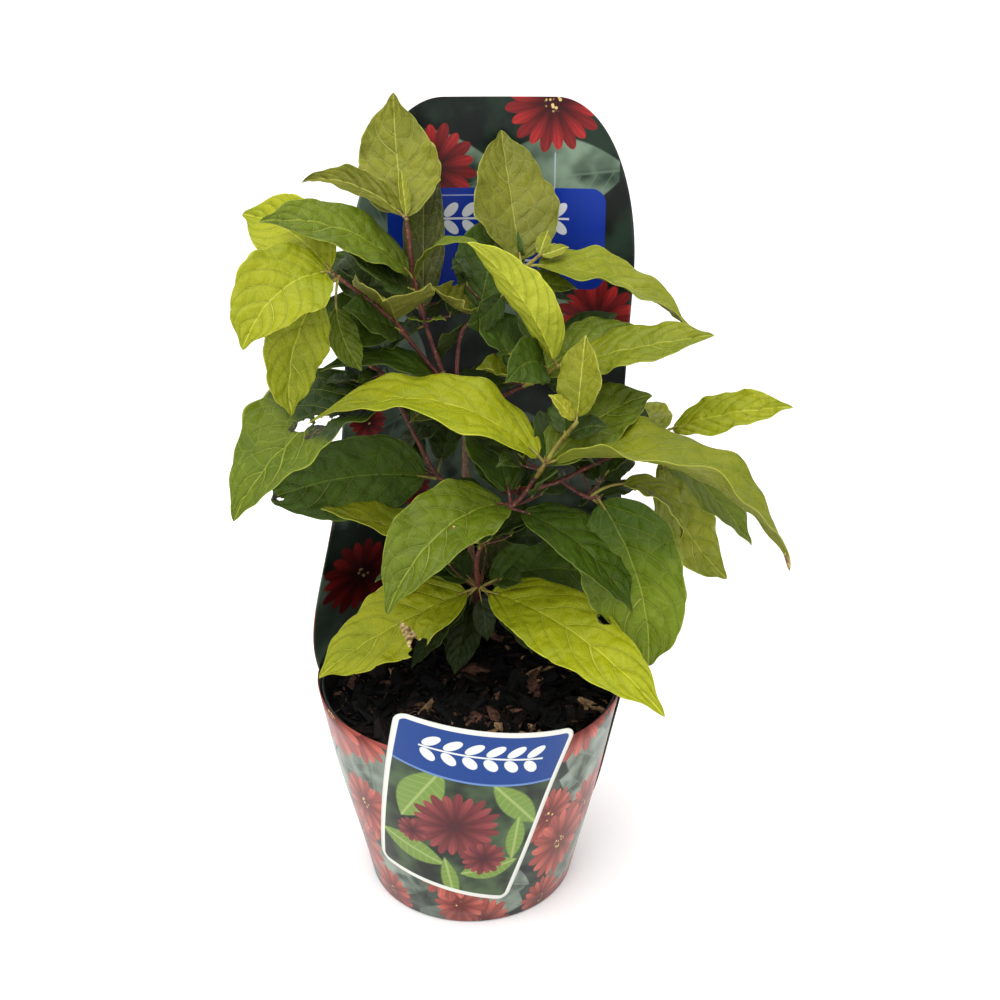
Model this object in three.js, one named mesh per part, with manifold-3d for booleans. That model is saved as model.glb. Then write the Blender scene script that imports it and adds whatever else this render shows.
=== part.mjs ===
// A young flowering shrub in a black nursery pot. A printed plastic wrap goes round the pot and rises
// behind the plant as a tall back board, and a picture card stands on the front of the pot.
// Millimetres, Z up, the front faces -Y, the origin lies under the middle of the pot's flat underside.
import * as THREE from 'three';
import { mergeVertices } from 'three/addons/utils/BufferGeometryUtils.js';
import Module from 'manifold-3d';

const wasm = await Module();
wasm.setup();

// Driving sizes
const gap = 0.3; // air between pieces that rest on each other
const sliver = 0.12; // faces finer than this, left where leaves meet a stem, are smoothed away
const pot = {
  height: 127, rimRadius: 84.1, lipDrop: 9, shoulderRadius: 82, baseRadius: 57, wall: 1.8, floor: 3,
  holes: 6, holeRadius: 5, holeCircle: 42, holeSides: 12, segments: 40,
};
const soil = { top: 118, edgeDrop: 1.5, edgeRun: 12 };
const wrap = { bottom: 1, rim: 130, baseRadius: 59.7, rimRadius: 86, sheet: 0.8, columns: 44 };
const board = {
  top: 433, halfWidth: 80, cornerWidth: 50, cornerHeight: 100, leanPerHeight: 0.056, depth: 86,
  edgeDepth: 78, edgeRun: 55, spreadRun: 35, rimSpread: 6, flare: 34,
  rows: 7, rowCrowding: 1.5, cornerRows: 6,
};
const card = {
  width: 88, height: 122, corner: 7, thickness: 0.8, tilt: -14, middle: -3, middleHeight: 88,
  columns: 8, rows: 12,
};
const leafSheet = {
  slimness: 80, leastThickness: 1.1, shortLength: 52, fold: 10,
  stalk: 4, stalkHalfWidth: 1, stalkThickness: 1.8, longStalk: 0.1, tipFrom: 0.9, tipHalfWidth: 0.5,
};
const bladeShape = { rise: 0.62, fall: 0.9, widest: 0.408 }; // powers of the outline, and where it is widest
// Shares of the blade, from its foot to its tip, where a leaf has a ring of corners
const leafStations = { long: [0, 0.08, 0.24, 0.44, 0.66, 0.86, 1], short: [0, 0.15, 0.45, 0.8, 1] };
const limbSides = 8;
const twigSides = 6;
const twigSteps = 5;
const innerRule = {
  seed: 5, nodeTurn: 90, clearance: 7, ownClearance: 3, shortest: 0.75, longest: 1.15, slimness: 0.5,
  swing: 20, leastRise: -10, mostRise: 45, leastDroop: 20, mostDroop: 80, mostFace: 45, frontward: -0.25,
};

const radians = THREE.MathUtils.degToRad;
const up = new THREE.Vector3(0, 0, 1);
const point = ([x, y, z]) => new THREE.Vector3(x, y, z);

// Surfaces and colours
const surfaces = {
  pot: new THREE.MeshStandardMaterial({ color: 0x141414, roughness: 0.55, metalness: 0 }),
  soil: new THREE.MeshStandardMaterial({ color: 0x1f1712, roughness: 0.95, metalness: 0 }),
  print: new THREE.MeshStandardMaterial({ color: 0x2c4031, roughness: 0.3, metalness: 0 }),
  card: new THREE.MeshStandardMaterial({ color: 0xe8e6df, roughness: 0.35, metalness: 0 }),
  wood: new THREE.MeshStandardMaterial({ color: 0x7a5a42, roughness: 0.8, metalness: 0 }),
  youngWood: new THREE.MeshStandardMaterial({ color: 0x7d3a30, roughness: 0.6, metalness: 0 }),
  leaf: new THREE.MeshStandardMaterial({ color: 0x83962a, roughness: 0.5, metalness: 0 }),
};

const object = new THREE.Group();
function addPart(name, geometry, material) {
  geometry.computeVertexNormals();
  const mesh = new THREE.Mesh(geometry, material);
  mesh.name = name;
  object.add(mesh);
}

// Closed shells: shared corners are merged, collapsed faces dropped, and the faces turned outward
function weld(geometry) {
  const plain = geometry.index ? geometry.toNonIndexed() : geometry;
  plain.deleteAttribute('normal');
  plain.deleteAttribute('uv');
  const merged = mergeVertices(plain, 1e-4);
  const index = merged.index.array;
  const kept = [];
  for (let i = 0; i < index.length; i += 3) {
    const [a, b, c] = [index[i], index[i + 1], index[i + 2]];
    if (a !== b && b !== c && c !== a) kept.push(a, b, c);
  }
  merged.setIndex(kept);
  return signedVolume(merged) < 0 ? turnedInsideOut(merged) : merged;
}

function signedVolume(geometry) {
  const place = geometry.attributes.position;
  const index = geometry.index.array;
  const [a, b, c] = [new THREE.Vector3(), new THREE.Vector3(), new THREE.Vector3()];
  let total = 0;
  for (let i = 0; i < index.length; i += 3) {
    a.fromBufferAttribute(place, index[i]);
    b.fromBufferAttribute(place, index[i + 1]);
    c.fromBufferAttribute(place, index[i + 2]);
    total += a.dot(b.cross(c)) / 6;
  }
  return total;
}

function turnedInsideOut(geometry) {
  const index = geometry.index.array;
  for (let i = 0; i < index.length; i += 3) [index[i], index[i + 1]] = [index[i + 1], index[i]];
  return geometry;
}

function toSolid(geometry) {
  const welded = weld(geometry);
  return new wasm.Manifold(new wasm.Mesh({
    numProp: 3,
    vertProperties: new Float32Array(welded.attributes.position.array),
    triVerts: new Uint32Array(welded.index.array),
  }));
}

function toGeometry(solid) {
  const mesh = solid.getMesh();
  const geometry = new THREE.BufferGeometry();
  geometry.setAttribute('position', new THREE.BufferAttribute(new Float32Array(mesh.vertProperties), 3));
  geometry.setIndex(Array.from(mesh.triVerts));
  return geometry;
}

function fromCorners(corners, faces) {
  const geometry = new THREE.BufferGeometry();
  geometry.setFromPoints(corners);
  geometry.setIndex(faces.flat());
  return geometry;
}

// A skin over rings of equally many corners, closed by a fan at each end
function skinOver(rings) {
  const size = rings[0].length;
  const corners = rings.flat();
  const faces = [];
  for (let ring = 0; ring + 1 < rings.length; ring += 1) {
    for (let side = 0; side < size; side += 1) {
      const a = ring * size + side;
      const b = ring * size + (side + 1) % size;
      faces.push([a, b, b + size], [a, b + size, a + size]);
    }
  }
  const last = (rings.length - 1) * size;
  for (let side = 1; side + 1 < size; side += 1) {
    faces.push([0, side + 1, side], [last, last + side, last + side + 1]);
  }
  return fromCorners(corners, faces);
}

function revolved(profile, segments) {
  const outline = profile.map(([radius, height]) => new THREE.Vector2(radius, height));
  return new THREE.LatheGeometry(outline, segments).rotateX(Math.PI / 2);
}

// Pot: a tapered bucket with a lip, a flat floor and drain holes, open at the top
function potRadius(height) {
  const slope = (pot.shoulderRadius - pot.baseRadius) / (pot.height - pot.lipDrop);
  return pot.baseRadius + slope * height;
}

function makePot() {
  const shoulder = pot.height - pot.lipDrop;
  const lipFoot = shoulder + 1;
  const insideWrap = wrapRadius(lipFoot) - wrap.sheet - gap;
  const bucket = toSolid(revolved([
    [0, 0], [pot.baseRadius, 0], [pot.shoulderRadius, shoulder], [insideWrap, lipFoot],
    [pot.rimRadius, pot.height], [pot.rimRadius - pot.wall, pot.height],
    [potRadius(shoulder) - pot.wall, shoulder], [potRadius(pot.floor) - pot.wall, pot.floor], [0, pot.floor],
  ], pot.segments));
  let drained = bucket;
  for (let hole = 0; hole < pot.holes; hole += 1) {
    const turn = (hole / pot.holes) * Math.PI * 2;
    const drill = new THREE.CylinderGeometry(pot.holeRadius, pot.holeRadius, pot.floor * 4, pot.holeSides);
    drill.rotateX(Math.PI / 2);
    drill.translate(pot.holeCircle * Math.cos(turn), pot.holeCircle * Math.sin(turn), 0);
    drained = drained.subtract(toSolid(drill));
  }
  addPart('pot', toGeometry(drained), surfaces.pot);
}

function makeSoil() {
  const foot = pot.floor + gap;
  const side = (height) => potRadius(height) - pot.wall - gap;
  const heap = revolved([
    [0, foot], [side(foot), foot], [side(soil.top - soil.edgeDrop), soil.top - soil.edgeDrop],
    [side(soil.top) - soil.edgeRun, soil.top], [0, soil.top],
  ], pot.segments);
  addPart('soil', weld(heap), surfaces.soil);
}

// Wrap: one plastic sheet, a cone round the pot whose rear half goes up as the back board
function wrapRadius(height) {
  return wrap.baseRadius + (wrap.rimRadius - wrap.baseRadius) * (height / wrap.rim);
}

function boardSection(height) {
  const rise = height - wrap.rim;
  const spread = Math.exp(-rise / board.spreadRun);
  const edgeY = board.edgeDepth * (1 - Math.exp(-rise / board.edgeRun));
  const corner = Math.max(0, 1 - (board.top - height) / board.cornerHeight);
  const cut = board.cornerWidth * (1 - Math.sqrt(Math.max(0, 1 - corner ** 2)));
  const half = board.halfWidth + board.rimSpread * spread + board.flare * spread * (1 - spread);
  const sag = board.depth - edgeY;
  const radius = (half ** 2 + sag ** 2) / (2 * sag);
  const share = (half - cut) / half;
  return { radius, reach: Math.atan2(half, radius - sag) * share, middle: rise * board.leanPerHeight };
}

function boardHeights() {
  const straightTop = board.top - board.cornerHeight;
  const heights = [];
  for (let row = 1; row <= board.rows; row += 1) {
    heights.push(wrap.rim + (straightTop - wrap.rim) * (row / board.rows) ** board.rowCrowding);
  }
  for (let row = 1; row <= board.cornerRows; row += 1) {
    const turn = (row / board.cornerRows) * Math.PI / 2;
    heights.push(straightTop + board.cornerHeight * Math.sin(turn));
  }
  return heights;
}

function sheetPoint(height, column, inward) {
  const turn = (column / wrap.columns) * Math.PI * 2;
  if (height <= wrap.rim) {
    const radius = wrapRadius(height) - inward;
    return new THREE.Vector3(radius * Math.cos(turn), radius * Math.sin(turn), height);
  }
  const { radius, reach, middle } = boardSection(height);
  const side = reach * (1 - turn * 2 / Math.PI);
  const out = radius - inward;
  const behind = board.depth - radius + out * Math.cos(side);
  return new THREE.Vector3(middle + out * Math.sin(side), behind, height);
}

function makeWrap() {
  const heights = [wrap.bottom, wrap.rim, ...boardHeights()];
  const columns = wrap.columns;
  const isSheet = (row, column) => row === 0 || (row > 0 && row + 1 < heights.length && column < columns / 2);
  const corners = [];
  const numberOf = new Map();
  const corner = (row, column, inner) => {
    const around = column % columns;
    const key = `${row} ${around} ${inner}`;
    if (!numberOf.has(key)) {
      numberOf.set(key, corners.length);
      corners.push(sheetPoint(heights[row], around, inner ? wrap.sheet : 0));
    }
    return numberOf.get(key);
  };
  const faces = [];
  const quad = (a, b, c, d) => faces.push([a, b, c], [a, c, d]);
  for (let row = 0; row + 1 < heights.length; row += 1) {
    for (let column = 0; column < columns; column += 1) {
      if (!isSheet(row, column)) continue;
      const around = [[row, column], [row, column + 1], [row + 1, column + 1], [row + 1, column]];
      const outer = around.map(([r, c]) => corner(r, c, false));
      const inner = around.map(([r, c]) => corner(r, c, true));
      quad(...outer);
      quad(inner[3], inner[2], inner[1], inner[0]);
      const neighbours = [
        row > 0 && isSheet(row - 1, column), isSheet(row, (column + 1) % columns),
        isSheet(row + 1, column), isSheet(row, (column + columns - 1) % columns),
      ];
      neighbours.forEach((joined, side) => {
        const after = (side + 1) % 4;
        if (!joined) quad(outer[after], outer[side], inner[side], inner[after]);
      });
    }
  }
  addPart('wrap', weld(fromCorners(corners, faces)), surfaces.print);
}

// Card: a rounded picture card, tilted and bent round the front of the wrap
function cardPoint(across, along, outward) {
  const tilt = radians(card.tilt);
  const arc = card.middle + across * Math.cos(tilt) - along * Math.sin(tilt);
  const height = card.middleHeight + across * Math.sin(tilt) + along * Math.cos(tilt);
  const radius = wrapRadius(height) + gap + outward;
  const turn = -Math.PI / 2 + arc / wrapRadius(card.middleHeight);
  return new THREE.Vector3(radius * Math.cos(turn), radius * Math.sin(turn), height);
}

function makeCard() {
  const halfWidth = card.width / 2;
  const halfHeight = card.height / 2;
  const straight = halfHeight - card.corner;
  const alongs = [];
  for (let row = 0; row <= card.rows; row += 1) {
    const share = (row / card.rows) * 2 - 1;
    const eased = Math.sin(share * Math.PI / 2);
    alongs.push(eased * halfHeight);
  }
  const corners = [];
  const faces = [];
  const across = card.columns + 1;
  for (const outward of [card.thickness, 0]) {
    for (const along of alongs) {
      const past = Math.max(0, Math.abs(along) - straight);
      const cut = card.corner - Math.sqrt(Math.max(0, card.corner ** 2 - past ** 2));
      for (let column = 0; column < across; column += 1) {
        const place = (column / card.columns) * 2 - 1;
        corners.push(cardPoint(place * (halfWidth - cut), along, outward));
      }
    }
  }
  const back = alongs.length * across;
  const quad = (a, b, c, d) => faces.push([a, b, c], [a, c, d]);
  for (let row = 0; row + 1 < alongs.length; row += 1) {
    for (let column = 0; column + 1 < across; column += 1) {
      const a = row * across + column;
      quad(a, a + 1, a + 1 + across, a + across);
      quad(back + a + across, back + a + across + 1, back + a + 1, back + a);
    }
    const left = row * across;
    const right = left + card.columns;
    quad(left, left + across, back + left + across, back + left);
    quad(right + across, right, back + right, back + right + across);
  }
  const top = (alongs.length - 1) * across;
  for (let column = 0; column + 1 < across; column += 1) {
    quad(column + 1, column, back + column, back + column + 1);
    quad(top + column, top + column + 1, back + top + column + 1, back + top + column);
  }
  addPart('picture_card', weld(fromCorners(corners, faces)), surfaces.card);
}

// Limbs: tapering round stems along a smooth path
const limbs = {
  main_stem: {
    path: [[-1, 51, soil.top - 4], [3, 42, 152], [0, 34, 195], [-2, 30, 240], [-3, 29, 270], [-14, 28, 298]],
    foot: 3.1, tip: 1.9, flare: 3, flareRun: 7, steps: 14, surface: 'wood',
  },
  front_stem: {
    from: 'main_stem', at: 0.15,
    path: [[3, 26, 152], [5, 8, 177], [5, -6, 205], [16, -16, 233], [27, -22, 245], [36, -26.5, 260]],
    foot: 1.9, tip: 1.4, steps: 14, surface: 'youngWood',
  },
  tall_bough: {
    path: [[-14.3, 28, 298.8], [-18, 28, 310], [-22, 26, 324]],
    foot: 1.7, tip: 1.4, steps: 4, surface: 'youngWood',
  },
  left_bough: {
    from: 'main_stem', at: 0.92, path: [[-25, 24, 309], [-33, 18, 322]],
    foot: 1.5, tip: 1.3, steps: 5, surface: 'youngWood',
  },
  right_bough: {
    from: 'main_stem', at: 0.89, path: [[-4, 28.5, 317.5], [4, 30, 327]],
    foot: 1.5, tip: 1.3, steps: 5, surface: 'youngWood',
  },
  mid_bough: {
    from: 'main_stem', at: 0.75, path: [[17, 24, 284], [30, 16, 294]],
    foot: 1.6, tip: 1.2, steps: 6, surface: 'youngWood',
  },
  west_bough: {
    from: 'main_stem', at: 0.52, path: [[-18, 26, 239], [-28, 22, 261], [-35, 18, 279]],
    foot: 1.6, tip: 1.2, steps: 8, surface: 'youngWood',
  },
  east_bough: {
    from: 'front_stem', at: 0.9, path: [[48, -16, 253], [62, -8, 257], [80, 1, 261]],
    foot: 1.5, tip: 1.2, steps: 8, surface: 'youngWood',
  },
  low_bough: {
    from: 'east_bough', at: 0.34, path: [[53, -17, 250], [58, -19.5, 247.5]],
    foot: 1.2, tip: 1.1, steps: 4, surface: 'youngWood',
  },
};

function limbCurve(name) {
  const limb = limbs[name];
  const points = limb.path.map(point);
  if (limb.from) points.unshift(limbCurve(limb.from).getPoint(limb.at));
  return new THREE.CatmullRomCurve3(points, false, 'catmullrom', 0.5);
}

function limbRadius(limb, share, travelled) {
  const flare = limb.flare ? limb.flare * Math.exp(-travelled / limb.flareRun) : 0;
  return limb.foot + (limb.tip - limb.foot) * share + flare;
}

// Rings of corners round a path, carried along it without twist
const startAcross = new THREE.Vector3(1, 0.2, 0);
function tubeRings(curve, from, to, steps, sides, radiusAt) {
  const rings = [];
  let across = null;
  let travelled = 0;
  let before = curve.getPoint(from);
  for (let step = 0; step <= steps; step += 1) {
    const share = step / steps;
    const t = from + (to - from) * share;
    const centre = curve.getPoint(t);
    const ahead = curve.getTangent(t);
    travelled += centre.distanceTo(before);
    before = centre;
    if (!across) across = startAcross.clone();
    across = across.clone().addScaledVector(ahead, -across.dot(ahead)).normalize();
    const other = new THREE.Vector3().crossVectors(ahead, across);
    const radius = radiusAt(share, travelled);
    const ring = [];
    for (let side = 0; side < sides; side += 1) {
      const turn = (side / sides) * Math.PI * 2;
      ring.push(centre.clone()
        .addScaledVector(across, radius * Math.cos(turn))
        .addScaledVector(other, radius * Math.sin(turn)));
    }
    rings.push(ring);
  }
  return rings;
}

function limbSolid(name, extra) {
  const limb = limbs[name];
  const rings = tubeRings(limbCurve(name), 0, 1, limb.steps, limbSides,
    (share, travelled) => limbRadius(limb, share, travelled) + extra);
  return toSolid(skinOver(rings));
}

function makeLimbs() {
  for (const [name, limb] of Object.entries(limbs)) {
    const cutter = limb.from ? limbSolid(limb.from, gap) : groundBlock();
    const stem = limbSolid(name, 0).subtract(cutter);
    addPart(name, toGeometry(largestPiece(stem)), surfaces[limb.surface]);
  }
}

// Everything up to the soil, which cuts the main stem's foot flat
function groundBlock() {
  const depth = soil.top + gap;
  const block = new THREE.BoxGeometry(pot.rimRadius * 2, pot.rimRadius * 2, depth);
  return toSolid(block.translate(0, 0, depth / 2));
}

function largestPiece(solid) {
  const pieces = solid.decompose();
  pieces.sort((a, b) => b.volume() - a.volume());
  return pieces[0];
}

// Leaves: heading is the compass direction on the plan, rise the slope from foot to tip, droop the total
// bend downward, and face the roll that turns the upper side toward the front. Lengths include the stalk.
const masses = {
  top_foliage: {
    stem: { after: 'tall_bough', path: [[-27, 24, 347], [-30, 22, 376], [-30, 20, 395]], foot: 1.4, tip: 0.9 },
    inner: { pairs: 2, length: 34 },
    leaves: {
      crownLeaf: { at: 0.9, heading: 105, rise: 62, length: 60, width: 43, droop: -55, face: -10, stalk: 3 },
      curledTop: { at: 0.9, heading: -166, rise: 12, length: 56, width: 18, droop: 18, face: 25, stalk: 3 },
      topBud: { at: 0.98, heading: 105, rise: 45, length: 18, width: 6, droop: 8, face: -30, stalk: 1 },
      archLeft: { at: 0.36, heading: -178, rise: 23, length: 89, width: 40, droop: 65, face: 16 },
      twisted: { at: 0.33, heading: -26, rise: 29, length: 64, width: 13, droop: 110, face: 8, stalk: 3 },
      mottledBack: { at: 0.08, heading: 88, rise: 61, length: 65, width: 24, droop: -7, face: -57 },
      underArch: { at: 0.28, heading: -136, rise: 33, length: 50, width: 28, droop: -18, face: 40 },
    },
  },
  left_foliage: {
    stem: { after: 'left_bough', path: [[-37, 14, 329], [-51, 4, 345], [-67, -6, 361]], foot: 1.3, tip: 0.9 },
    inner: { pairs: 2, length: 34 },
    leaves: {
      leftUp: { at: 0.97, heading: -138, rise: 30, length: 63, width: 39, droop: 85, face: 56, stalk: 3 },
      leftDown: { at: 0.99, heading: -133, rise: -26, length: 67, width: 42, droop: 74, face: 35, stalk: 3 },
      leftHang: { at: 0.92, heading: -126, rise: -59, length: 80, width: 38, droop: 87, face: 71, stalk: 16 },
      leftSlim: { at: 0.92, heading: 32, rise: -76, length: 50, width: 19, droop: -57, face: 50, stalk: 16 },
      cupped: { at: 0.3, heading: -86, rise: 34, length: 50, width: 40, droop: 16, face: 0, stalk: 6 },
      leftInner: { at: 0.1, heading: -128, rise: 28, length: 46, width: 25, droop: 0, face: 50 },
    },
  },
  right_foliage: {
    stem: { after: 'right_bough', path: [[17, 32.5, 339], [28, 33, 351], [38, 33, 360]], foot: 1.3, tip: 0.9 },
    inner: { pairs: 3, length: 40 },
    leaves: {
      roundTop: { at: 0.68, heading: 98, rise: 62, length: 78, width: 50, droop: 28, face: -16, stalk: 6 },
      archRight: { at: 0.78, heading: -2, rise: -21, length: 96, width: 42, droop: 46, face: 11, stalk: 5 },
      budA: { at: 0.98, heading: 72, rise: 32, length: 15, width: 6, droop: 14, face: 25, stalk: 1 },
      budB: { at: 0.98, heading: 25, rise: 13, length: 15, width: 6, droop: -15, face: 40, stalk: 1 },
      innerUp: { at: 0.34, heading: 117, rise: 25, length: 44, width: 23, droop: -45, face: 37 },
      innerLeft: { at: 0.42, heading: -134, rise: -25, length: 34, width: 16, droop: -55, face: 80 },
      innerRight: { at: 0.68, heading: 2, rise: -15, length: 31, width: 15, droop: -45, face: 32 },
      curledMiddle: { at: 0.05, heading: 149, rise: 26, length: 30, width: 16, droop: -38, face: 11, stalk: 3 },
    },
  },
  mid_foliage: {
    stem: { after: 'mid_bough', path: [[38, 10, 300], [47, 1, 310]], foot: 1.2, tip: 0.9 },
    inner: { pairs: 2, length: 44 },
    leaves: {
      longLeft: { at: 0.96, heading: -148, rise: 54, length: 91, width: 30, droop: 26, face: -35, stalk: 5 },
      flatRight: { at: 0.96, heading: -7, rise: 14, length: 82, width: 39, droop: 11, face: 11, stalk: 6 },
      behindRight: { at: 0.6, heading: -2, rise: 23, length: 59, width: 28, droop: 72, face: 29, stalk: 5 },
      behindTip: { at: 0.2, heading: 35, rise: 27, length: 66, width: 24, droop: 20, face: 35, stalk: 6 },
      roundDark: { at: 0.75, heading: -140, rise: 8, length: 38, width: 28, droop: 60, face: 60 },
    },
  },
  front_foliage: {
    stem: { after: 'front_stem', path: [[40, -29, 268], [47, -32, 281], [55, -36, 293]], foot: 1.4, tip: 0.9 },
    inner: { pairs: 2, length: 44 },
    leaves: {
      spanLeft: { at: 0.33, heading: -171, rise: 16, length: 131, width: 56, droop: 82, face: 4, stalk: 5 },
      spanRight: { at: 0.33, heading: -13, rise: -23, length: 146, width: 60, droop: 84, face: 0, stalk: 6 },
      wing: { at: 0.2, heading: 23, rise: 28, length: 72, width: 36, droop: 36, face: 24 },
      youngUp: { at: 0.98, heading: 57, rise: 62, length: 43, width: 25, droop: 10, face: -18, stalk: 3 },
      youngCurl: { at: 0.98, heading: 179, rise: 49, length: 20, width: 10, droop: 14, face: 32, stalk: 2 },
    },
  },
  centre_foliage: {
    collar: { on: 'front_stem', at: 0.78 },
    inner: { pairs: 2, length: 46 },
    leaves: {
      midDark: { heading: 120, rise: 35, length: 63, width: 34, droop: 76, face: -6 },
      midLeft: { heading: -148, rise: -26, length: 103, width: 50, droop: 78, face: 28 },
      midRight: { heading: -42, rise: -28, length: 87, width: 38, droop: 48, face: 10 },
    },
  },
  east_foliage: {
    stem: { after: 'east_bough', path: [[99, 8, 269], [106, 10, 271]], foot: 1.2, tip: 0.9 },
    inner: { pairs: 2, length: 42 },
    leaves: {
      farRight: { at: 0.85, heading: -11, rise: 15, length: 73, width: 34, droop: 36, face: 16, stalk: 5 },
      paleBack: { at: 0.6, heading: 75, rise: 7, length: 53, width: 32, droop: 38, face: -24 },
      eastArch: { at: 0.55, heading: -33, rise: -37, length: 79, width: 38, droop: 13, face: -4 },
      eastHang: { at: 0.6, heading: -16, rise: -61, length: 92, width: 40, droop: -26, face: -45, stalk: 16 },
    },
  },
  lower_right_foliage: {
    stem: { after: 'low_bough', path: [[63, -21, 246], [69, -23, 247]], foot: 1.1, tip: 0.9 },
    inner: { pairs: 2, length: 40 },
    leaves: {
      sickle: { at: 0.55, heading: 0, rise: -35, length: 80, width: 24, droop: 120, face: -34, stalk: 20 },
      bigHang: { at: 0.85, heading: -40, rise: -69, length: 107, width: 57, droop: 66, face: 85, stalk: 3 },
      backHang: { at: 0.6, heading: 13, rise: -63, length: 104, width: 34, droop: 40, face: 70, stalk: 12 },
    },
  },
  foot_foliage: {
    collar: { on: 'front_stem', at: 0.345 },
    inner: { pairs: 2, length: 46 },
    leaves: {
      footRight: { heading: -22, rise: -25, length: 126, width: 52, droop: 63, face: 60, stalk: 6 },
      footLeft: { heading: -162, rise: -24, length: 107, width: 52, droop: 58, face: 20 },
      footDarkRight: { heading: 2, rise: -16, length: 82, width: 39, droop: 71, face: 31 },
      footDarkLeft: { heading: 176, rise: 0, length: 61, width: 29, droop: 83, face: 10 },
    },
  },
  step_foliage: {
    collar: { on: 'front_stem', at: 0.55 },
    inner: { pairs: 2, length: 44 },
    leaves: {
      slimLeft: { heading: -172, rise: 19, length: 86, width: 34, droop: 13, face: 5, stalk: 6 },
      littleFront: { heading: -78, rise: 32, length: 38, width: 12, droop: 40, face: 60, stalk: 3 },
    },
  },
  west_foliage: {
    stem: { after: 'west_bough', path: [[-43, 12, 300], [-50, 4, 309]], foot: 1.2, tip: 0.9 },
    inner: { pairs: 3, length: 42 },
    leaves: {
      bentLeft: { at: 0.3, heading: -145, rise: -26, length: 112, width: 58, droop: 66, face: 5, stalk: 5 },
    },
  },
  lower_left_foliage: {
    collar: { on: 'west_bough', at: 0.34 },
    inner: { pairs: 2, length: 44 },
    leaves: {
      wideLeft: { heading: -158, rise: 0, length: 98, width: 46, droop: 36, face: 78 },
      innerBack: { heading: 72, rise: 48, length: 43, width: 21, droop: -14, face: -12, stalk: 6 },
    },
  },
  heart_foliage: {
    collar: { on: 'main_stem', at: 0.83 },
    inner: { pairs: 3, length: 52 },
    leaves: {
      slimDark: { heading: -176, rise: 21, length: 80, width: 22, droop: 90, face: 11, stalk: 6 },
      brownish: { heading: -138, rise: 8, length: 36, width: 17, droop: 80, face: 30, stalk: 6 },
    },
  },
  soil_foliage: {
    collar: { on: 'main_stem', at: 0.25 },
    inner: { pairs: 1, length: 36 },
    leaves: {
      soilLeft: { heading: -132, rise: -29, length: 53, width: 24, droop: -16, face: -20, stalk: 6 },
      soilRight: { heading: -38, rise: -28, length: 48, width: 22, droop: 60, face: -16, stalk: 6 },
      soilUp: { heading: -13, rise: 37, length: 57, width: 26, droop: 86, face: 43, stalk: 5 },
    },
  },
};

function leafAxes(leaf) {
  const heading = radians(leaf.heading);
  const along = new THREE.Vector3(Math.cos(heading), Math.sin(heading), 0);
  const aside = new THREE.Vector3(-Math.sin(heading), Math.cos(heading), 0);
  if (aside.y < 0) aside.negate();
  return { along, aside };
}

// A point on the bent midrib, with the directions across the blade and out of its face there
function midribAt(leaf, foot, share) {
  const { along, aside } = leafAxes(leaf);
  const bend = radians(leaf.droop) || 1e-6;
  const start = radians(leaf.rise) + bend / 2;
  const slope = start - bend * share;
  const forward = leaf.length * (Math.sin(start) - Math.sin(slope)) / bend;
  const upward = leaf.length * (Math.cos(slope) - Math.cos(start)) / bend;
  const centre = foot.clone().addScaledVector(along, forward).addScaledVector(up, upward);
  const ahead = along.clone().multiplyScalar(Math.cos(slope)).addScaledVector(up, Math.sin(slope));
  const out = along.clone().multiplyScalar(-Math.sin(slope)).addScaledVector(up, Math.cos(slope));
  const face = radians(leaf.face);
  const across = aside.clone().multiplyScalar(Math.cos(face)).addScaledVector(out, Math.sin(face));
  const normal = out.clone().multiplyScalar(Math.cos(face)).addScaledVector(aside, -Math.sin(face));
  return { centre, ahead, across, normal };
}

function stalkShare(leaf) {
  return (leaf.stalk ?? leafSheet.stalk) / leaf.length;
}

// Half the blade's width, as a share of the widest place: rounded near the foot, drawn out at the tip
function bladeOutline(leaf, share) {
  const { rise, fall, widest } = bladeShape;
  const stalk = stalkShare(leaf);
  const blade = THREE.MathUtils.clamp((share - stalk) / (1 - stalk), 0, 1);
  return (blade / widest) ** rise * ((1 - blade) / (1 - widest)) ** fall;
}

function leafSolid(leaf, foot, sunk) {
  const stalk = stalkShare(leaf);
  const thick = Math.max(leafSheet.leastThickness, leaf.length / leafSheet.slimness);
  const lift = Math.tan(radians(leafSheet.fold));
  const stations = leaf.length < leafSheet.shortLength ? leafStations.short : leafStations.long;
  const shares = [-sunk / leaf.length, ...stations.map((station) => stalk + (1 - stalk) * station)];
  if (stalk > leafSheet.longStalk) shares.splice(1, 0, stalk / 2);
  const rings = shares.map((share) => {
    const { centre, across, normal } = midribAt(leaf, foot, share);
    const blade = leaf.width / 2 * bladeOutline(leaf, share);
    const least = share > leafSheet.tipFrom ? leafSheet.tipHalfWidth : leafSheet.stalkHalfWidth;
    const half = Math.max(blade, least);
    const deep = (share <= stalk ? Math.max(thick, leafSheet.stalkThickness) : thick) / 2;
    const corner = (side, level) => centre.clone()
      .addScaledVector(across, side * half)
      .addScaledVector(normal, Math.abs(side) * half * lift + level * deep);
    return [corner(-1, 1), corner(0, 1), corner(1, 1), corner(1, -1), corner(0, -1), corner(-1, -1)];
  });
  return toSolid(skinOver(rings));
}

// The stem of a mass goes on from the tip of its bough
function massStem(stem) {
  const bough = limbCurve(stem.after);
  const tip = bough.getPoint(1).addScaledVector(bough.getTangent(1), gap);
  return new THREE.CatmullRomCurve3([tip, ...stem.path.map(point)], false, 'catmullrom', 0.5);
}

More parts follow.
